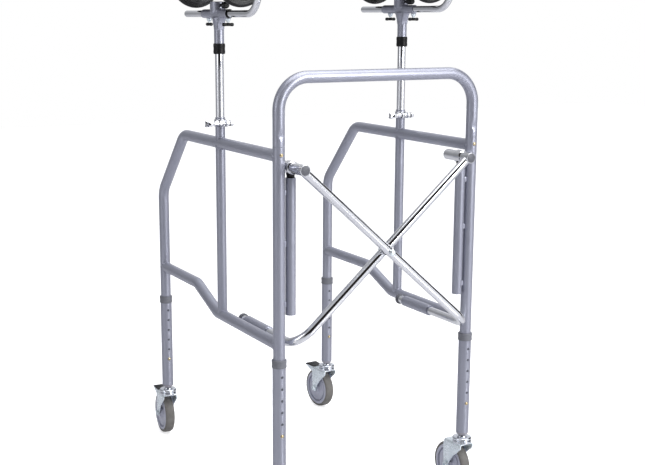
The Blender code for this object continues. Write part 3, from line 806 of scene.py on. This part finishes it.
def wheel(name, axle, across):
    body = f"{name}_wheel_body"
    half = [(0.0113, 0.0458), (0.0119, 0.0468), (0.0122, 0.0485), (0.0114, 0.0507), (0.0090, 0.0523),
            (0.0050, WHEEL_R)]
    tread = [(-d, r) for d, r in half] + [(d, r) for d, r in reversed(half)]
    fit(f"{name}_tyre", turn_profile(axle, across, tread, 96, ring=True), TYRE, body, [f"{name}_wheel"])
    face = [(0.0112, 0.0459), (0.0121, 0.0452), (0.0123, 0.0440), (0.0123, 0.0402), (0.0114, 0.0392),
            (0.0072, 0.0386), (0.0064, 0.0376), (0.0064, 0.0358), (0.0072, 0.0350), (0.0104, 0.0344),
            (0.0110, 0.0334), (0.0104, 0.0320), (0.0094, 0.0300), (0.0086, 0.0210), (0.0090, 0.0158),
            (0.0104, 0.0144), (0.0122, 0.0136), (0.0146, 0.0126), (0.0150, 0.0116), (0.0150, 0.0045)]
    hub = [(-d, r) for d, r in face] + [(d, r) for d, r in reversed(face)]
    fit(f"{name}_hub", turn_profile(axle, across, hub, 96, ring=True), HUB_PLASTIC, body)


def fork_cheeks(place):
    """The pressed fork: an inverted channel with rounded shoulders, cut to the cheek's outline."""
    half, inner, radius = 0.019, 0.0166, 0.0048
    under = 0.1121
    outer = [(-half, -0.01)]
    outer += [(-half + radius - radius * math.cos(math.radians(a)),
               FORK_TOP - radius + radius * math.sin(math.radians(a)))
              for a in range(0, 91, 15)]
    outer += [(-u, v) for u, v in reversed(outer)]
    small = radius - (half - inner)
    inside = [(-inner, -0.01)]
    inside += [(-inner + small - small * math.cos(math.radians(a)),
                under - small + small * math.sin(math.radians(a)))
               for a in range(0, 91, 15)]
    inside += [(-u, v) for u, v in reversed(inside)]
    metal = bmesh.new()
    loops = []
    for y in (-0.035, 0.070):
        loops.append([metal.verts.new(place @ Vector((u, y, v))) for u, v in outer + inside[::-1]])
    bridge(metal, loops)
    metal.faces.new(loops[0])
    metal.faces.new(loops[1])
    return metal


def cheek_outline():
    """The cheek from the side: broad under the race, drawn in to a rounded end at the axle."""
    points = [(-0.0185, 0.1180), (-0.0185, 0.1040), (-0.0150, 0.1000), (0.0080, 0.0800), (0.0200, 0.0640),
              (0.0240, 0.0550)]
    for a in range(200, 361, 16):
        points.append((TRAIL + 0.0090 * math.cos(math.radians(a)),
                       WHEEL_R + 0.0090 * math.sin(math.radians(a))))
    points += [(0.0424, 0.0600), (0.0430, 0.0800), (0.0440, 0.1000), (0.0400, 0.1180)]
    return points


def caster(side, end):
    name = f"{side}_{end}"
    leg = middle(f"{name}_leg")
    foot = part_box(f"{name}_leg")[0].z
    x, y = leg.x, leg.y
    place = Matrix.Translation((x, y, 0)) @ Matrix.Rotation(math.radians(TRAIL_TURN[name]), 4, "Z")
    body = f"{name}_fork_body"

    plug = [(SWIVEL_TOP + 0.0004, 0.0060), (SWIVEL_TOP + 0.0004, 0.0078), (SWIVEL_TOP + 0.0018, 0.0098),
            (foot - 0.0035, 0.0130), (foot - 0.0018, 0.0140), (foot - 0.0004, 0.0140), (foot - 0.0004,
                                                                                        0.0126),
            (foot + 0.0200, 0.0126), (foot + 0.0200, 0.0060)]
    fit(f"{name}_plug", turn_profile((x, y, 0), (0, 0, 1), plug, ring=True), PLUG_PLASTIC,
        f"{name}_leg_body", [f"{name}_stem"])

    cheeks = fit(f"{name}_fork_cheeks", fork_cheeks(place), ZINC, None)
    cut(cheeks, plate(cheek_outline(), -0.03, 0.03, place), "INTERSECT", 0.0005)
    fix(cheeks, body, [f"{name}_fork"])

    race = [(0.0005, 0.0060), (0.0005, 0.0188), (0.0011, 0.0205), (0.0025, 0.0216), (0.0048, 0.0220),
            (0.0066, 0.0214), (0.0078, 0.0198), (0.0084, 0.0192), (0.0090, 0.0198), (0.0102, 0.0214),
            (0.0120, 0.0220), (0.0138, 0.0217), (0.0152, 0.0206), (0.0160, 0.0188), (0.0162, 0.0120),
            (0.0174, 0.0116), (0.0174, 0.0085), (0.0188, 0.0082), (0.0188, 0.0060)]
    fit(f"{name}_ball_race", turn_profile((x, y, SWIVEL_TOP - 0.0190), (0, 0, 1), race, 64, ring=True),
        BRIGHT_ZINC, body)

    axle = place @ Vector((0, TRAIL, WHEEL_R))
    across = place.to_3x3() @ Vector((1, 0, 0))
    pin = [(-0.0212, 0.0030), (-0.0212, 0.0042), (-0.0205, 0.0046), (-0.0192, 0.0046), (-0.0192, 0.0040)]
    shank = [(-0.0188, 0.0040), (0.0188, 0.0040)]
    nut = [(0.0192, 0.0040), (0.0192, 0.0046), (0.0205, 0.0046), (0.0212, 0.0042), (0.0212, 0.0030)]
    fit(f"{name}_axle", turn_profile(axle, across, pin + shank + nut, 24), ZINC, body)
    for label, inner, outer in (("bolt_head", -0.0190, -0.0240), ("axle_nut", 0.0190, 0.0240)):
        tip = math.copysign(abs(outer) - 0.0008, outer)
        profile = [(inner, 0.0030), (inner, 0.0074), (tip, 0.0074), (outer, 0.0062), (outer, 0.0030)]
        fit(f"{name}_{label}", turn_profile(axle, across, profile, 6, ring=True), ZINC, body)
    wheel(name, axle, across)

    if end == "rear":
        pedal(name, place)


def pedal(name, place):
    """The brake pedal: a zinc lever from under the race, with a ribbed black cover on its end."""
    body = f"{name}_pedal_body"
    z = PEDAL_Z
    lever = [(0.0275, z - 0.0030), (0.0340, z - 0.0044), (0.0500, z - 0.0040), (0.0800, z - 0.0038),
             (0.0800, z - 0.0020), (0.0500, z - 0.0010), (0.0275, z + 0.0030)]
    fit(f"{name}_pedal_lever", plate(lever, -0.0138, 0.0138, place, 0.0004), ZINC, body,
        [f"{name}_pedal"])
    flange = [(0.0290, z), (0.0290, z - 0.0130), (0.0330, z - 0.0165), (0.0400, z - 0.0175),
              (0.0520, z - 0.0140),
              (0.0660, z - 0.0088), (0.0790, z - 0.0030), (0.0790, z)]
    for label, edge in (("outer", -0.0153), ("inner", 0.0139)):
        fit(f"{name}_pedal_{label}_side", plate(flange, edge, edge + 0.0014, place, 0.0003), ZINC, body)
    cover = [(0.0390, z - 0.0004), (0.0560, z - 0.0012), (0.0700, z - 0.0004), (0.0826, z - 0.0034),
             (0.0829, z + 0.0004), (0.0760, z + 0.0036), (0.0690, z + 0.0042), (0.0600, z + 0.0026),
             (0.0500, z + 0.0018), (0.0430, z + 0.0036), (0.0385, z + 0.0036), (0.0375, z + 0.0016)]
    fit(f"{name}_pedal_cover", plate(cover, -0.0155, 0.0155, place, 0.0010), BLACK_PLASTIC, body)


for side in ("left", "right"):
    for end in ("front", "rear"):
        caster(side, end)


# ---- Post clamps ----
# A chromed quick-release clamp round each middle post: a split band with two ears, drawn up by a
# skewer with a cam lever on one side and a round nut on the other.

def post_clamp(side):
    body = f"{side}_frame"
    low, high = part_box(f"{side}_clamp")
    post = middle(f"{side}_mid_post")
    x, y, z = post.x, post.y, (low.z + high.z) / 2
    band = [(-0.0075, 0.0112), (-0.0075, 0.0129), (-0.0069, 0.0135), (-0.0040, 0.0135), (-0.0034, 0.0131),
            (0.0034, 0.0131), (0.0040, 0.0135), (0.0069, 0.0135), (0.0075, 0.0129), (0.0075, 0.0112)]
    fit(f"{side}_clamp_band", turn_profile((x, y, z), (0, 0, 1), band, 56, ring=True), CHROME, body,
        [f"{side}_clamp"])
    for label, edge in (("outer", -0.0055), ("inner", 0.0025)):
        outline = rounded(low.y, z - 0.0070, y - 0.0118, z + 0.0070, 0.0035)
        ear = plate(outline, x + edge, x + edge + 0.003, Matrix.Identity(4), 0.0005)
        fit(f"{side}_clamp_ear_{label}", ear, CHROME, body)

    lever_body = f"{side}_clamp_lever_body"
    origin = (x, y - 0.0235, z)
    skewer = [(-0.0265, 0.0003), (-0.0265, 0.0026), (0.0215, 0.0026), (0.0220, 0.0020), (0.0220, 0.0003)]
    fit(f"{side}_clamp_skewer", turn_profile(origin, (1, 0, 0), skewer, 24), CHROME, lever_body,
        [f"{side}_clamp_lever"])
    cam = [(-0.0250, 0.0020), (-0.0250, 0.0046), (-0.0240, 0.0058), (-0.0150, 0.0060), (-0.0140, 0.0048),
           (-0.0128, 0.0048), (-0.0118, 0.0060), (-0.0068, 0.0060), (-0.0058, 0.0052), (-0.0058, 0.0020)]
    fit(f"{side}_clamp_cam", turn_profile(origin, (1, 0, 0), cam, 40, ring=True), CHROME, lever_body)
    washer = [(-0.0142, 0.0026), (-0.0142, 0.0063), (-0.0126, 0.0063), (-0.0126, 0.0026)]
    fit(f"{side}_clamp_washer", turn_profile(origin, (1, 0, 0), washer, 40, ring=True), BLACK_PLASTIC,
        lever_body)
    nut = [(0.0060, 0.0022), (0.0060, 0.0056), (0.0068, 0.0062), (0.0100, 0.0062), (0.0106, 0.0050),
           (0.0126, 0.0050), (0.0132, 0.0062), (0.0190, 0.0062), (0.0205, 0.0052), (0.0208, 0.0022)]
    fit(f"{side}_clamp_nut", turn_profile(origin, (1, 0, 0), nut, 40, ring=True), CHROME, lever_body)
    collar = [(0.0104, 0.0046), (0.0104, 0.0063), (0.0128, 0.0063), (0.0128, 0.0046)]
    fit(f"{side}_clamp_nut_ring", turn_profile(origin, (1, 0, 0), collar, 40, ring=True), BLACK_PLASTIC,
        lever_body)
    blade = [(-0.0460, -0.0060), (-0.0445, -0.0064), (-0.0300, -0.0048), (-0.0245, -0.0034),
             (-0.0245, 0.0034),
             (-0.0300, 0.0048), (-0.0445, 0.0064), (-0.0460, 0.0060), (-0.0448, 0.0)]
    turn = Matrix(((0, 1, 0, x), (1, 0, 0, origin[1]), (0, 0, 1, z), (0, 0, 0, 1)))
    fit(f"{side}_clamp_blade", plate(blade, -0.0042, 0.0042, turn, 0.0006), CHROME, lever_body)
    slit = [(-0.0390, -0.0030), (-0.0330, -0.0026), (-0.0330, 0.0026), (-0.0390, 0.0030)]
    fit(f"{side}_clamp_blade_pad", plate(slit, -0.0045, 0.0045, turn, 0.0004), BLACK_PLASTIC, lever_body)


for side in ("left", "right"):
    post_clamp(side)


# ---- Forearm supports ----
# A chromed post slides in the middle post. On it sits a cast T-head, lacquered with the frame: its
# sleeve holds the handle tube, two thumb screws under it lock that tube, and the trough turns on its boss.

STEM_LENGTH = 0.0865
HANDLE_R = 0.0075
SCREW_Y = {"front": 0.243, "rear": 0.344}


def head_height(side):
    return middle(f"{side}_lock_knob").z - 0.0178


def weld_solid(parts, voxel, rounds):
    """Cast several solids into one, with soft fillets where they meet."""
    metal = bmesh.new()
    for part in parts:
        bmesh.ops.recalc_face_normals(part, faces=part.faces)
        mesh = keep_mesh("part", part)
        metal.from_mesh(mesh)
        bpy.data.meshes.remove(mesh)
    mesh = keep_mesh("casting", metal)
    casting = show("casting", mesh)
    join = casting.modifiers.new("join", "REMESH")
    join.mode = "VOXEL"
    join.voxel_size = voxel
    join.use_smooth_shade = True
    ease = casting.modifiers.new("ease", "SMOOTH")
    ease.iterations = rounds
    ease.factor = 0.5
    made = evaluated(casting)
    bpy.data.objects.remove(casting)
    bpy.data.meshes.remove(mesh)
    result = bmesh.new()
    result.from_mesh(made)
    bpy.data.meshes.remove(made)
    return result


def support(side):
    body = f"{side}_support"
    x, mid_y = middle(f"{side}_mid_post").x, middle(f"{side}_mid_post").y
    front_y = middle(f"{side}_front_leg").y
    z = head_height(side)
    boss = middle(f"{side}_lock_knob")
    boss_y = front_y + 0.297

    low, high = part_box(f"{side}_support_post")
    post = draw_tube([(x, mid_y, low.z), (x, mid_y, high.z)], 0.0095, (0, 1, 0), 0.0012, 48)
    fit(f"{side}_support_tube", post, POST_CHROME, body, [f"{side}_support_post"])

    stem = [(-STEM_LENGTH + 0.001, 0.0111), (-0.036, 0.0111), (-0.026, 0.0120), (-0.016, 0.0142),
            (-0.008, 0.0150)]
    sleeve_low, sleeve_high = front_y + 0.236, front_y + 0.372
    parts = [turn_profile((x, mid_y, z), (0, 0, 1), stem, 40),
             turn_profile((x, sleeve_low, z), (0, 1, 0), [(0, 0.0098), (sleeve_high - sleeve_low, 0.0098)],
                          40),
             turn_profile((x, boss_y, z), (0, 0, 1), [(0.002, 0.0170), (0.0262, 0.0170)], 56),
             plate([(-0.0250, -0.004), (-0.0180, -0.0125), (-0.0128, -0.0230), (-0.0105, -0.0340),
                    (0.0105, -0.0340),
                    (0.0128, -0.0230), (0.0180, -0.0125), (0.0250, -0.004), (0.0250, 0.004), (-0.0250,
                                                                                              0.004)],
                   -0.0085, 0.0085, Matrix.Translation((x, mid_y, z)))]
    for label, offset in SCREW_Y.items():
        nut = [(-0.0120, 0.0056), (-0.0085, 0.0064), (-0.0040, 0.0068)]
        parts.append(turn_profile((x, front_y + offset, z), (0, 0, 1), nut, 32))
    casting = fit(f"{side}_head_casting", weld_solid(parts, 0.0011, 5), LACQUER, None)
    bores = turn_profile((x, front_y + 0.1, z), (0, 1, 0), [(0, 0.0077), (0.4, 0.0077)], 40)
    cut(casting, bores)
    fix(casting, body, [f"{side}_head"])

    for label, offset in SCREW_Y.items():
        y = front_y + offset
        cone = [(-0.0172, 0.0024), (-0.0172, 0.0034), (-0.0166, 0.0040), (-0.0122, 0.0060),
                (-0.0105, 0.0060),
                (-0.0105, 0.0024)]
        fit(f"{side}_{label}_screw_nut", turn_profile((x, y, z), (0, 0, 1), cone, 32, ring=True), ZINC,
            body)
        knob_body = f"{side}_{label}_knob_body"
        shank = [(-0.0235, 0.0003), (-0.0235, 0.0020), (-0.0150, 0.0020), (-0.0145, 0.0003)]
        fit(f"{side}_{label}_screw_shank", turn_profile((x, y, z), (0, 0, 1), shank, 20), ZINC, knob_body)
        bar_turn = 0.0 if (side, label) == ("left", "rear") else math.pi / 2
        along = Vector((math.sin(-bar_turn), math.cos(bar_turn), 0))
        bar = [(-0.0130, 0.0004), (-0.0130, 0.0026), (-0.0120, 0.0036), (-0.0080, 0.0037),
               (-0.0045, 0.0032),
               (0.0045, 0.0032), (0.0080, 0.0037), (0.0120, 0.0036), (0.0130, 0.0026), (0.0130, 0.0004)]
        wing = turn_profile((x, y, z - 0.0230), along, bar, 28)
        fit(f"{side}_{label}_thumb_bar", wing, BLACK_PLASTIC, knob_body, [f"{side}_{label}_knob"])
        boss_ring = [(-0.0262, 0.0003), (-0.0262, 0.0038), (-0.0250, 0.0046), (-0.0210, 0.0046),
                     (-0.0192, 0.0038),
                     (-0.0192, 0.0003)]
        fit(f"{side}_{label}_thumb_hub", turn_profile((x, y, z), (0, 0, 1), boss_ring, 28), BLACK_PLASTIC,
            knob_body)

    base = z - STEM_LENGTH
    collar = [(-0.0004, 0.0097), (-0.0004, 0.0118), (0.0010, 0.0129), (0.0060, 0.0132), (0.0080, 0.0128),
              (0.0145, 0.0128), (0.0165, 0.0132), (0.0212, 0.0130), (0.0225, 0.0120), (0.0225, 0.0112),
              (0.0010, 0.0112), (0.0010, 0.0097)]
    ring = turn_profile((x, mid_y, base), (0, 0, 1), collar, ring=True)
    fit(f"{side}_stem_collar", ring, BLACK_PLASTIC, body)

    knob_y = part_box(f"{side}_lock_knob")[0].y
    grip = [(0.0, 0.0004), (0.0, 0.0050), (0.0012, 0.0066), (0.0030, 0.0072), (0.0180, 0.0072),
            (0.0205, 0.0060), (0.0215, 0.0036), (0.0326, 0.0034)]
    knob = turn_profile((x, knob_y, boss.z), (0, 1, 0), grip, 48)
    for vert in knob.verts:
        offset = vert.co - Vector((x, vert.co.y, boss.z))
        if offset.length > 0.0065:
            turn = math.atan2(offset.z, offset.x)
            vert.co -= offset.normalized() * 0.0006 * (0.5 - 0.5 * math.cos(12 * turn))
    fit(f"{side}_lock_grip", knob, BLACK_PLASTIC, f"{side}_lock_knob_body", [f"{side}_lock_knob"])


for side in ("left", "right"):
    support(side)


# ---- Handles ----
# A 15 mm chromed tube runs through the T-head and is bent up in front of the trough, where a ribbed
# black hand grip is pushed on. A dark bush closes the front of the left sleeve.

def handle(side):
    body = f"{side}_handle_body"
    low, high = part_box(f"{side}_handle")
    x = (low.x + high.x) / 2
    z = head_height(side)
    rear, front, top = high.y, low.y + HANDLE_R, high.z
    line = bend_line([(x, rear, z), (x, front, z), (x, front, top)], 0.052, 24)
    fit(f"{side}_handle_tube", draw_tube(line, HANDLE_R, (1, 0, 0), 0.0012, 44), CHROME, body,
        [f"{side}_handle"])
    low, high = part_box(f"{side}_grip")
    length = high.z - low.z
    skin = [(0.0, 0.0077), (0.0, 0.0140), (0.0012, 0.0160), (0.0045, 0.0165), (0.0070, 0.0162)]
    ribs = 17
    start, end = 0.010, length - 0.022
    for i in range(ribs):
        a = start + (end - start) * i / ribs
        step = (end - start) / ribs
        swell = 0.0006 * math.sin(math.pi * (i + 0.5) / ribs)
        skin += [(a, 0.0150 + swell), (a + 0.20 * step, 0.0158 + swell), (a + 0.65 * step, 0.0158 + swell),
                 (a + 0.85 * step, 0.0150 + swell)]
    skin += [(end, 0.0152), (length - 0.0150, 0.0158), (length - 0.0085, 0.0158), (length - 0.0035, 0.0140),
             (length - 0.0008, 0.0095), (length, 0.0045), (length, 0.0004), (length - 0.0068, 0.0004),
             (length - 0.0068, 0.0077)]
    fit(f"{side}_hand_grip", turn_profile((x, front, low.z), (0, 0, 1), skin, 56, ring=True), GRIP_RUBBER,
        body,
        [f"{side}_grip"])
    sleeve_front = middle(f"{side}_front_leg").y + 0.236
    bush = [(-0.0030, 0.0076), (-0.0030, 0.0090), (-0.0022, 0.0099), (0.0, 0.0099), (0.0, 0.0076)]
    if side == "left":
        ring = turn_profile((x, sleeve_front, z), (0, 1, 0), bush, 44, ring=True)
        fit(f"{side}_sleeve_bush", ring, BLACK_PLASTIC, f"{side}_support")


def grip_rubber():
    """Soft black grip rubber, matt and finely grained."""
    rubber = Finish("grip_rubber", (0.016, 0.016, 0.017), 0.0, 0.6)
    rubber.vary((40, 4), (0.013, 0.013, 0.014), (0.026, 0.026, 0.028), (300, 3), 0.50, 0.70)
    rubber.relief(rubber.noise(1800, 3), 0.3, 0.0003)
    return rubber.material


GRIP_RUBBER = grip_rubber()
for side in ("left", "right"):
    handle(side)


# ---- Forearm troughs ----
# A half-round padded trough: foam on a curved shell, covered in black vinyl, with a thick roll round
# each flared end, a seam beside each roll and stitched edges along the top.

TROUGH_FLARE = ((-0.113, 0.0590, 0.0430), (-0.104, 0.0530, 0.0390), (-0.088, 0.0490, 0.0365),
                (-0.060, 0.0480, 0.0360), (0.000, 0.0480, 0.0360))


def black_vinyl():
    """Black upholstery vinyl: a fine leather grain, a soft gloss and a little wear."""
    vinyl = Finish("black_vinyl", (0.006, 0.006, 0.006), 0.0, 0.38)
    vinyl.shader.inputs["Specular IOR Level"].default_value = 0.35
    vinyl.vary((30, 5), (0.005, 0.005, 0.005), (0.010, 0.010, 0.011), (120, 4), 0.32, 0.46)
    grain = vinyl.tree.nodes.new("ShaderNodeMath")
    grain.operation = "ADD"
    vinyl.tree.links.new(vinyl.cells(900, "DISTANCE_TO_EDGE"), grain.inputs[0])
    vinyl.tree.links.new(vinyl.noise(1600, 2), grain.inputs[1])
    vinyl.relief(grain.outputs[0], 0.22, 0.0005)
    return vinyl.material


VINYL = black_vinyl()


def arc_line(centre, distance, radius, start, end, steps):
    """Points on an arc across the trough, hung under its axis."""
    angles = [math.radians(start + (end - start) * i / steps) for i in range(steps + 1)]
    return [centre + Vector((radius * math.cos(a), distance, radius * math.sin(a))) for a in angles]


def fill_with_foam(pad, cap):
    """Blow the cover out as foam does, no point further than the cap, and smooth it once."""
    skin = pad.modifiers.new("skin", "REMESH")
    skin.mode = "VOXEL"
    skin.voxel_size = 0.004
    settle(pad)
    home = [vert.co.copy() for vert in pad.data.vertices]
    foam = pad.modifiers.new("foam", "CLOTH")
    foam.settings.quality = 5
    foam.settings.use_pressure = True
    foam.settings.uniform_pressure_force = 4
    foam.settings.effector_weights.gravity = 0
    frames = 20
    foam.point_cache.frame_start = 1
    foam.point_cache.frame_end = frames
    for step in range(1, frames + 1):
        bpy.context.scene.frame_set(step)
    settle(pad)
    bpy.context.scene.frame_set(1)
    for vert, rest in zip(pad.data.vertices, home):
        move = vert.co - rest
        if move.length > cap:
            vert.co = rest + move.normalized() * cap
    ease = pad.modifiers.new("ease", "SUBSURF")
    ease.levels = 1
    ease.render_levels = 1
    settle(pad)
    smooth(pad)


def stuffed_roll(line, radius):
    """A roll along a line, drawn in and closed at both ends."""
    metal = bmesh.new()
    rings = []
    last = len(line) - 1
    for i in range(len(line)):
        inward = min(i, last - i) / 4
        narrow = math.sqrt(max(0.02, 1 - (1 - min(1, inward)) ** 2))
        rings.append(tube_ring(metal, line, i, radius * narrow, Vector((0, 1, 0)), 24))
    bridge(metal, rings)
    metal.faces.new(rings[0])
    metal.faces.new(rings[-1])
    return metal


def stitch_tree(finish):
    """Lays one stitch after another along a curve."""
    tree = bpy.data.node_groups.new("stitches", "GeometryNodeTree")
    for name, way, kind in (("Geometry", "INPUT", "Geometry"), ("Pitch", "INPUT", "Float"),
                            ("Thread", "INPUT", "Float"), ("Geometry", "OUTPUT", "Geometry")):
        tree.interface.new_socket(name, in_out=way, socket_type=f"NodeSocket{kind}")
    given = tree.nodes.new("NodeGroupInput")
    spaced = tree.nodes.new("GeometryNodeResampleCurve")
    spaced.mode = "LENGTH"
    thread = tree.nodes.new("GeometryNodeMeshUVSphere")
    thread.inputs["Segments"].default_value = 8
    thread.inputs["Rings"].default_value = 6
    long = tree.nodes.new("GeometryNodeTransform")
    long.inputs["Scale"].default_value = (1, 1, 2.6)
    along = tree.nodes.new("GeometryNodeInputTangent")
    turned = tree.nodes.new("FunctionNodeAlignRotationToVector")
    turned.axis = "Z"
    laid = tree.nodes.new("GeometryNodeInstanceOnPoints")
    real = tree.nodes.new("GeometryNodeRealizeInstances")
    coloured = tree.nodes.new("GeometryNodeSetMaterial")
    coloured.inputs["Material"].default_value = finish
    done = tree.nodes.new("NodeGroupOutput")
    for source, given_by, target, taken_as in (
            (given, "Geometry", spaced, "Curve"), (given, "Pitch", spaced, "Length"),
            (given, "Thread", thread, "Radius"), (thread, "Mesh", long, "Geometry"),
            (along, "Tangent", turned, "Vector"), (spaced, "Curve", laid, "Points"),
            (long, "Geometry", laid, "Instance"), (turned, "Rotation", laid, "Rotation"),
            (laid, "Instances", real, "Geometry"), (real, "Geometry", coloured, "Geometry"),
            (coloured, "Geometry", done, "Geometry")):
        tree.links.new(source.outputs[given_by], target.inputs[taken_as])
    return tree


def sew(name, lines, tree, body):
    """Sew stitches along several lines, as one piece."""
    curve = bpy.data.curves.new(name, "CURVE")
    curve.dimensions = "3D"
    for line in lines:
        spline = curve.splines.new("POLY")
        spline.points.add(len(line) - 1)
        for point, place in zip(spline.points, line):
            point.co = (*place, 1)
    guide = show(f"{name}_guide", curve)
    needle = guide.modifiers.new("needle", "NODES")
    needle.node_group = tree
    for socket in tree.interface.items_tree:
        if socket.in_out == "INPUT" and socket.name in ("Pitch", "Thread"):
            needle[socket.identifier] = 0.0042 if socket.name == "Pitch" else 0.0005
    made = evaluated(guide)
    bpy.data.objects.remove(guide)
    bpy.data.curves.remove(curve)
    piece = show(name, made)
    smooth(piece)
    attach(piece, body)


THREAD = moulded_plastic("thread", (0.020, 0.020, 0.022), (0.034, 0.034, 0.037), 0.6)
STITCHES = stitch_tree(THREAD)


def trough(side):
    body = f"{side}_trough_body"
    low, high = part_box(f"{side}_trough")
    side_height = 0.012
    centre = Vector(((low.x + high.x) / 2, (low.y + high.y) / 2, high.z - side_height))
    slack = 0.0015
    half = [(d, outer - slack, inner + slack) for d, outer, inner in TROUGH_FLARE]
    sections = half + [(-d, outer, inner) for d, outer, inner in reversed(half[:-1])]
    metal = bmesh.new()
    rings = []
    steps = 40
    brim = side_height - slack
    for distance, outer, inner in sections:
        outline = [(-outer + 0.001, brim - 0.003)]
        outline += [(-outer * math.cos(math.pi * i / steps), -outer * math.sin(math.pi * i / steps))
                    for i in range(steps + 1)]
        outline += [(outer - 0.001, brim - 0.003), ((outer + inner) / 2, brim),
                    (inner + 0.001, brim - 0.003)]
        outline += [(inner * math.cos(math.pi * i / steps), -inner * math.sin(math.pi * i / steps))
                    for i in range(steps + 1)]
        outline += [(-inner - 0.001, brim - 0.003), (-(outer + inner) / 2, brim)]
        rings.append([metal.verts.new(centre + Vector((u, distance, v))) for u, v in outline])
    bridge(metal, rings)
    metal.faces.new(rings[0])
    metal.faces.new(rings[-1])
    pad = fit(f"{side}_trough_pad", metal, VINYL, None)
    fill_with_foam(pad, slack)
    fix(pad, body, [f"{side}_trough"])

    rows = []
    for end, label in ((-1, "front"), (1, "rear")):
        line = arc_line(centre, 0.1205 * end, 0.0553, 172, 368, 60)
        roll = fit(f"{side}_{label}_roll", stuffed_roll(line, 0.0066), VINYL, body)
        piping = stuffed_roll(arc_line(centre, 0.1115 * end, 0.0568, 176, 364, 60), 0.0015)
        fit(f"{side}_{label}_piping", piping, VINYL, body)
        rows.append(arc_line(centre, 0.1055 * end, 0.0541, 178, 362, 60))
    for edge in (-1, 1):
        rows.append([centre + Vector((edge * 0.0440, -0.095 + 0.19 * i / 40, side_height - 0.0006))
                     for i in range(41)])
    sew(f"{side}_trough_stitches", rows, STITCHES, body)


for side in ("left", "right"):
    trough(side)
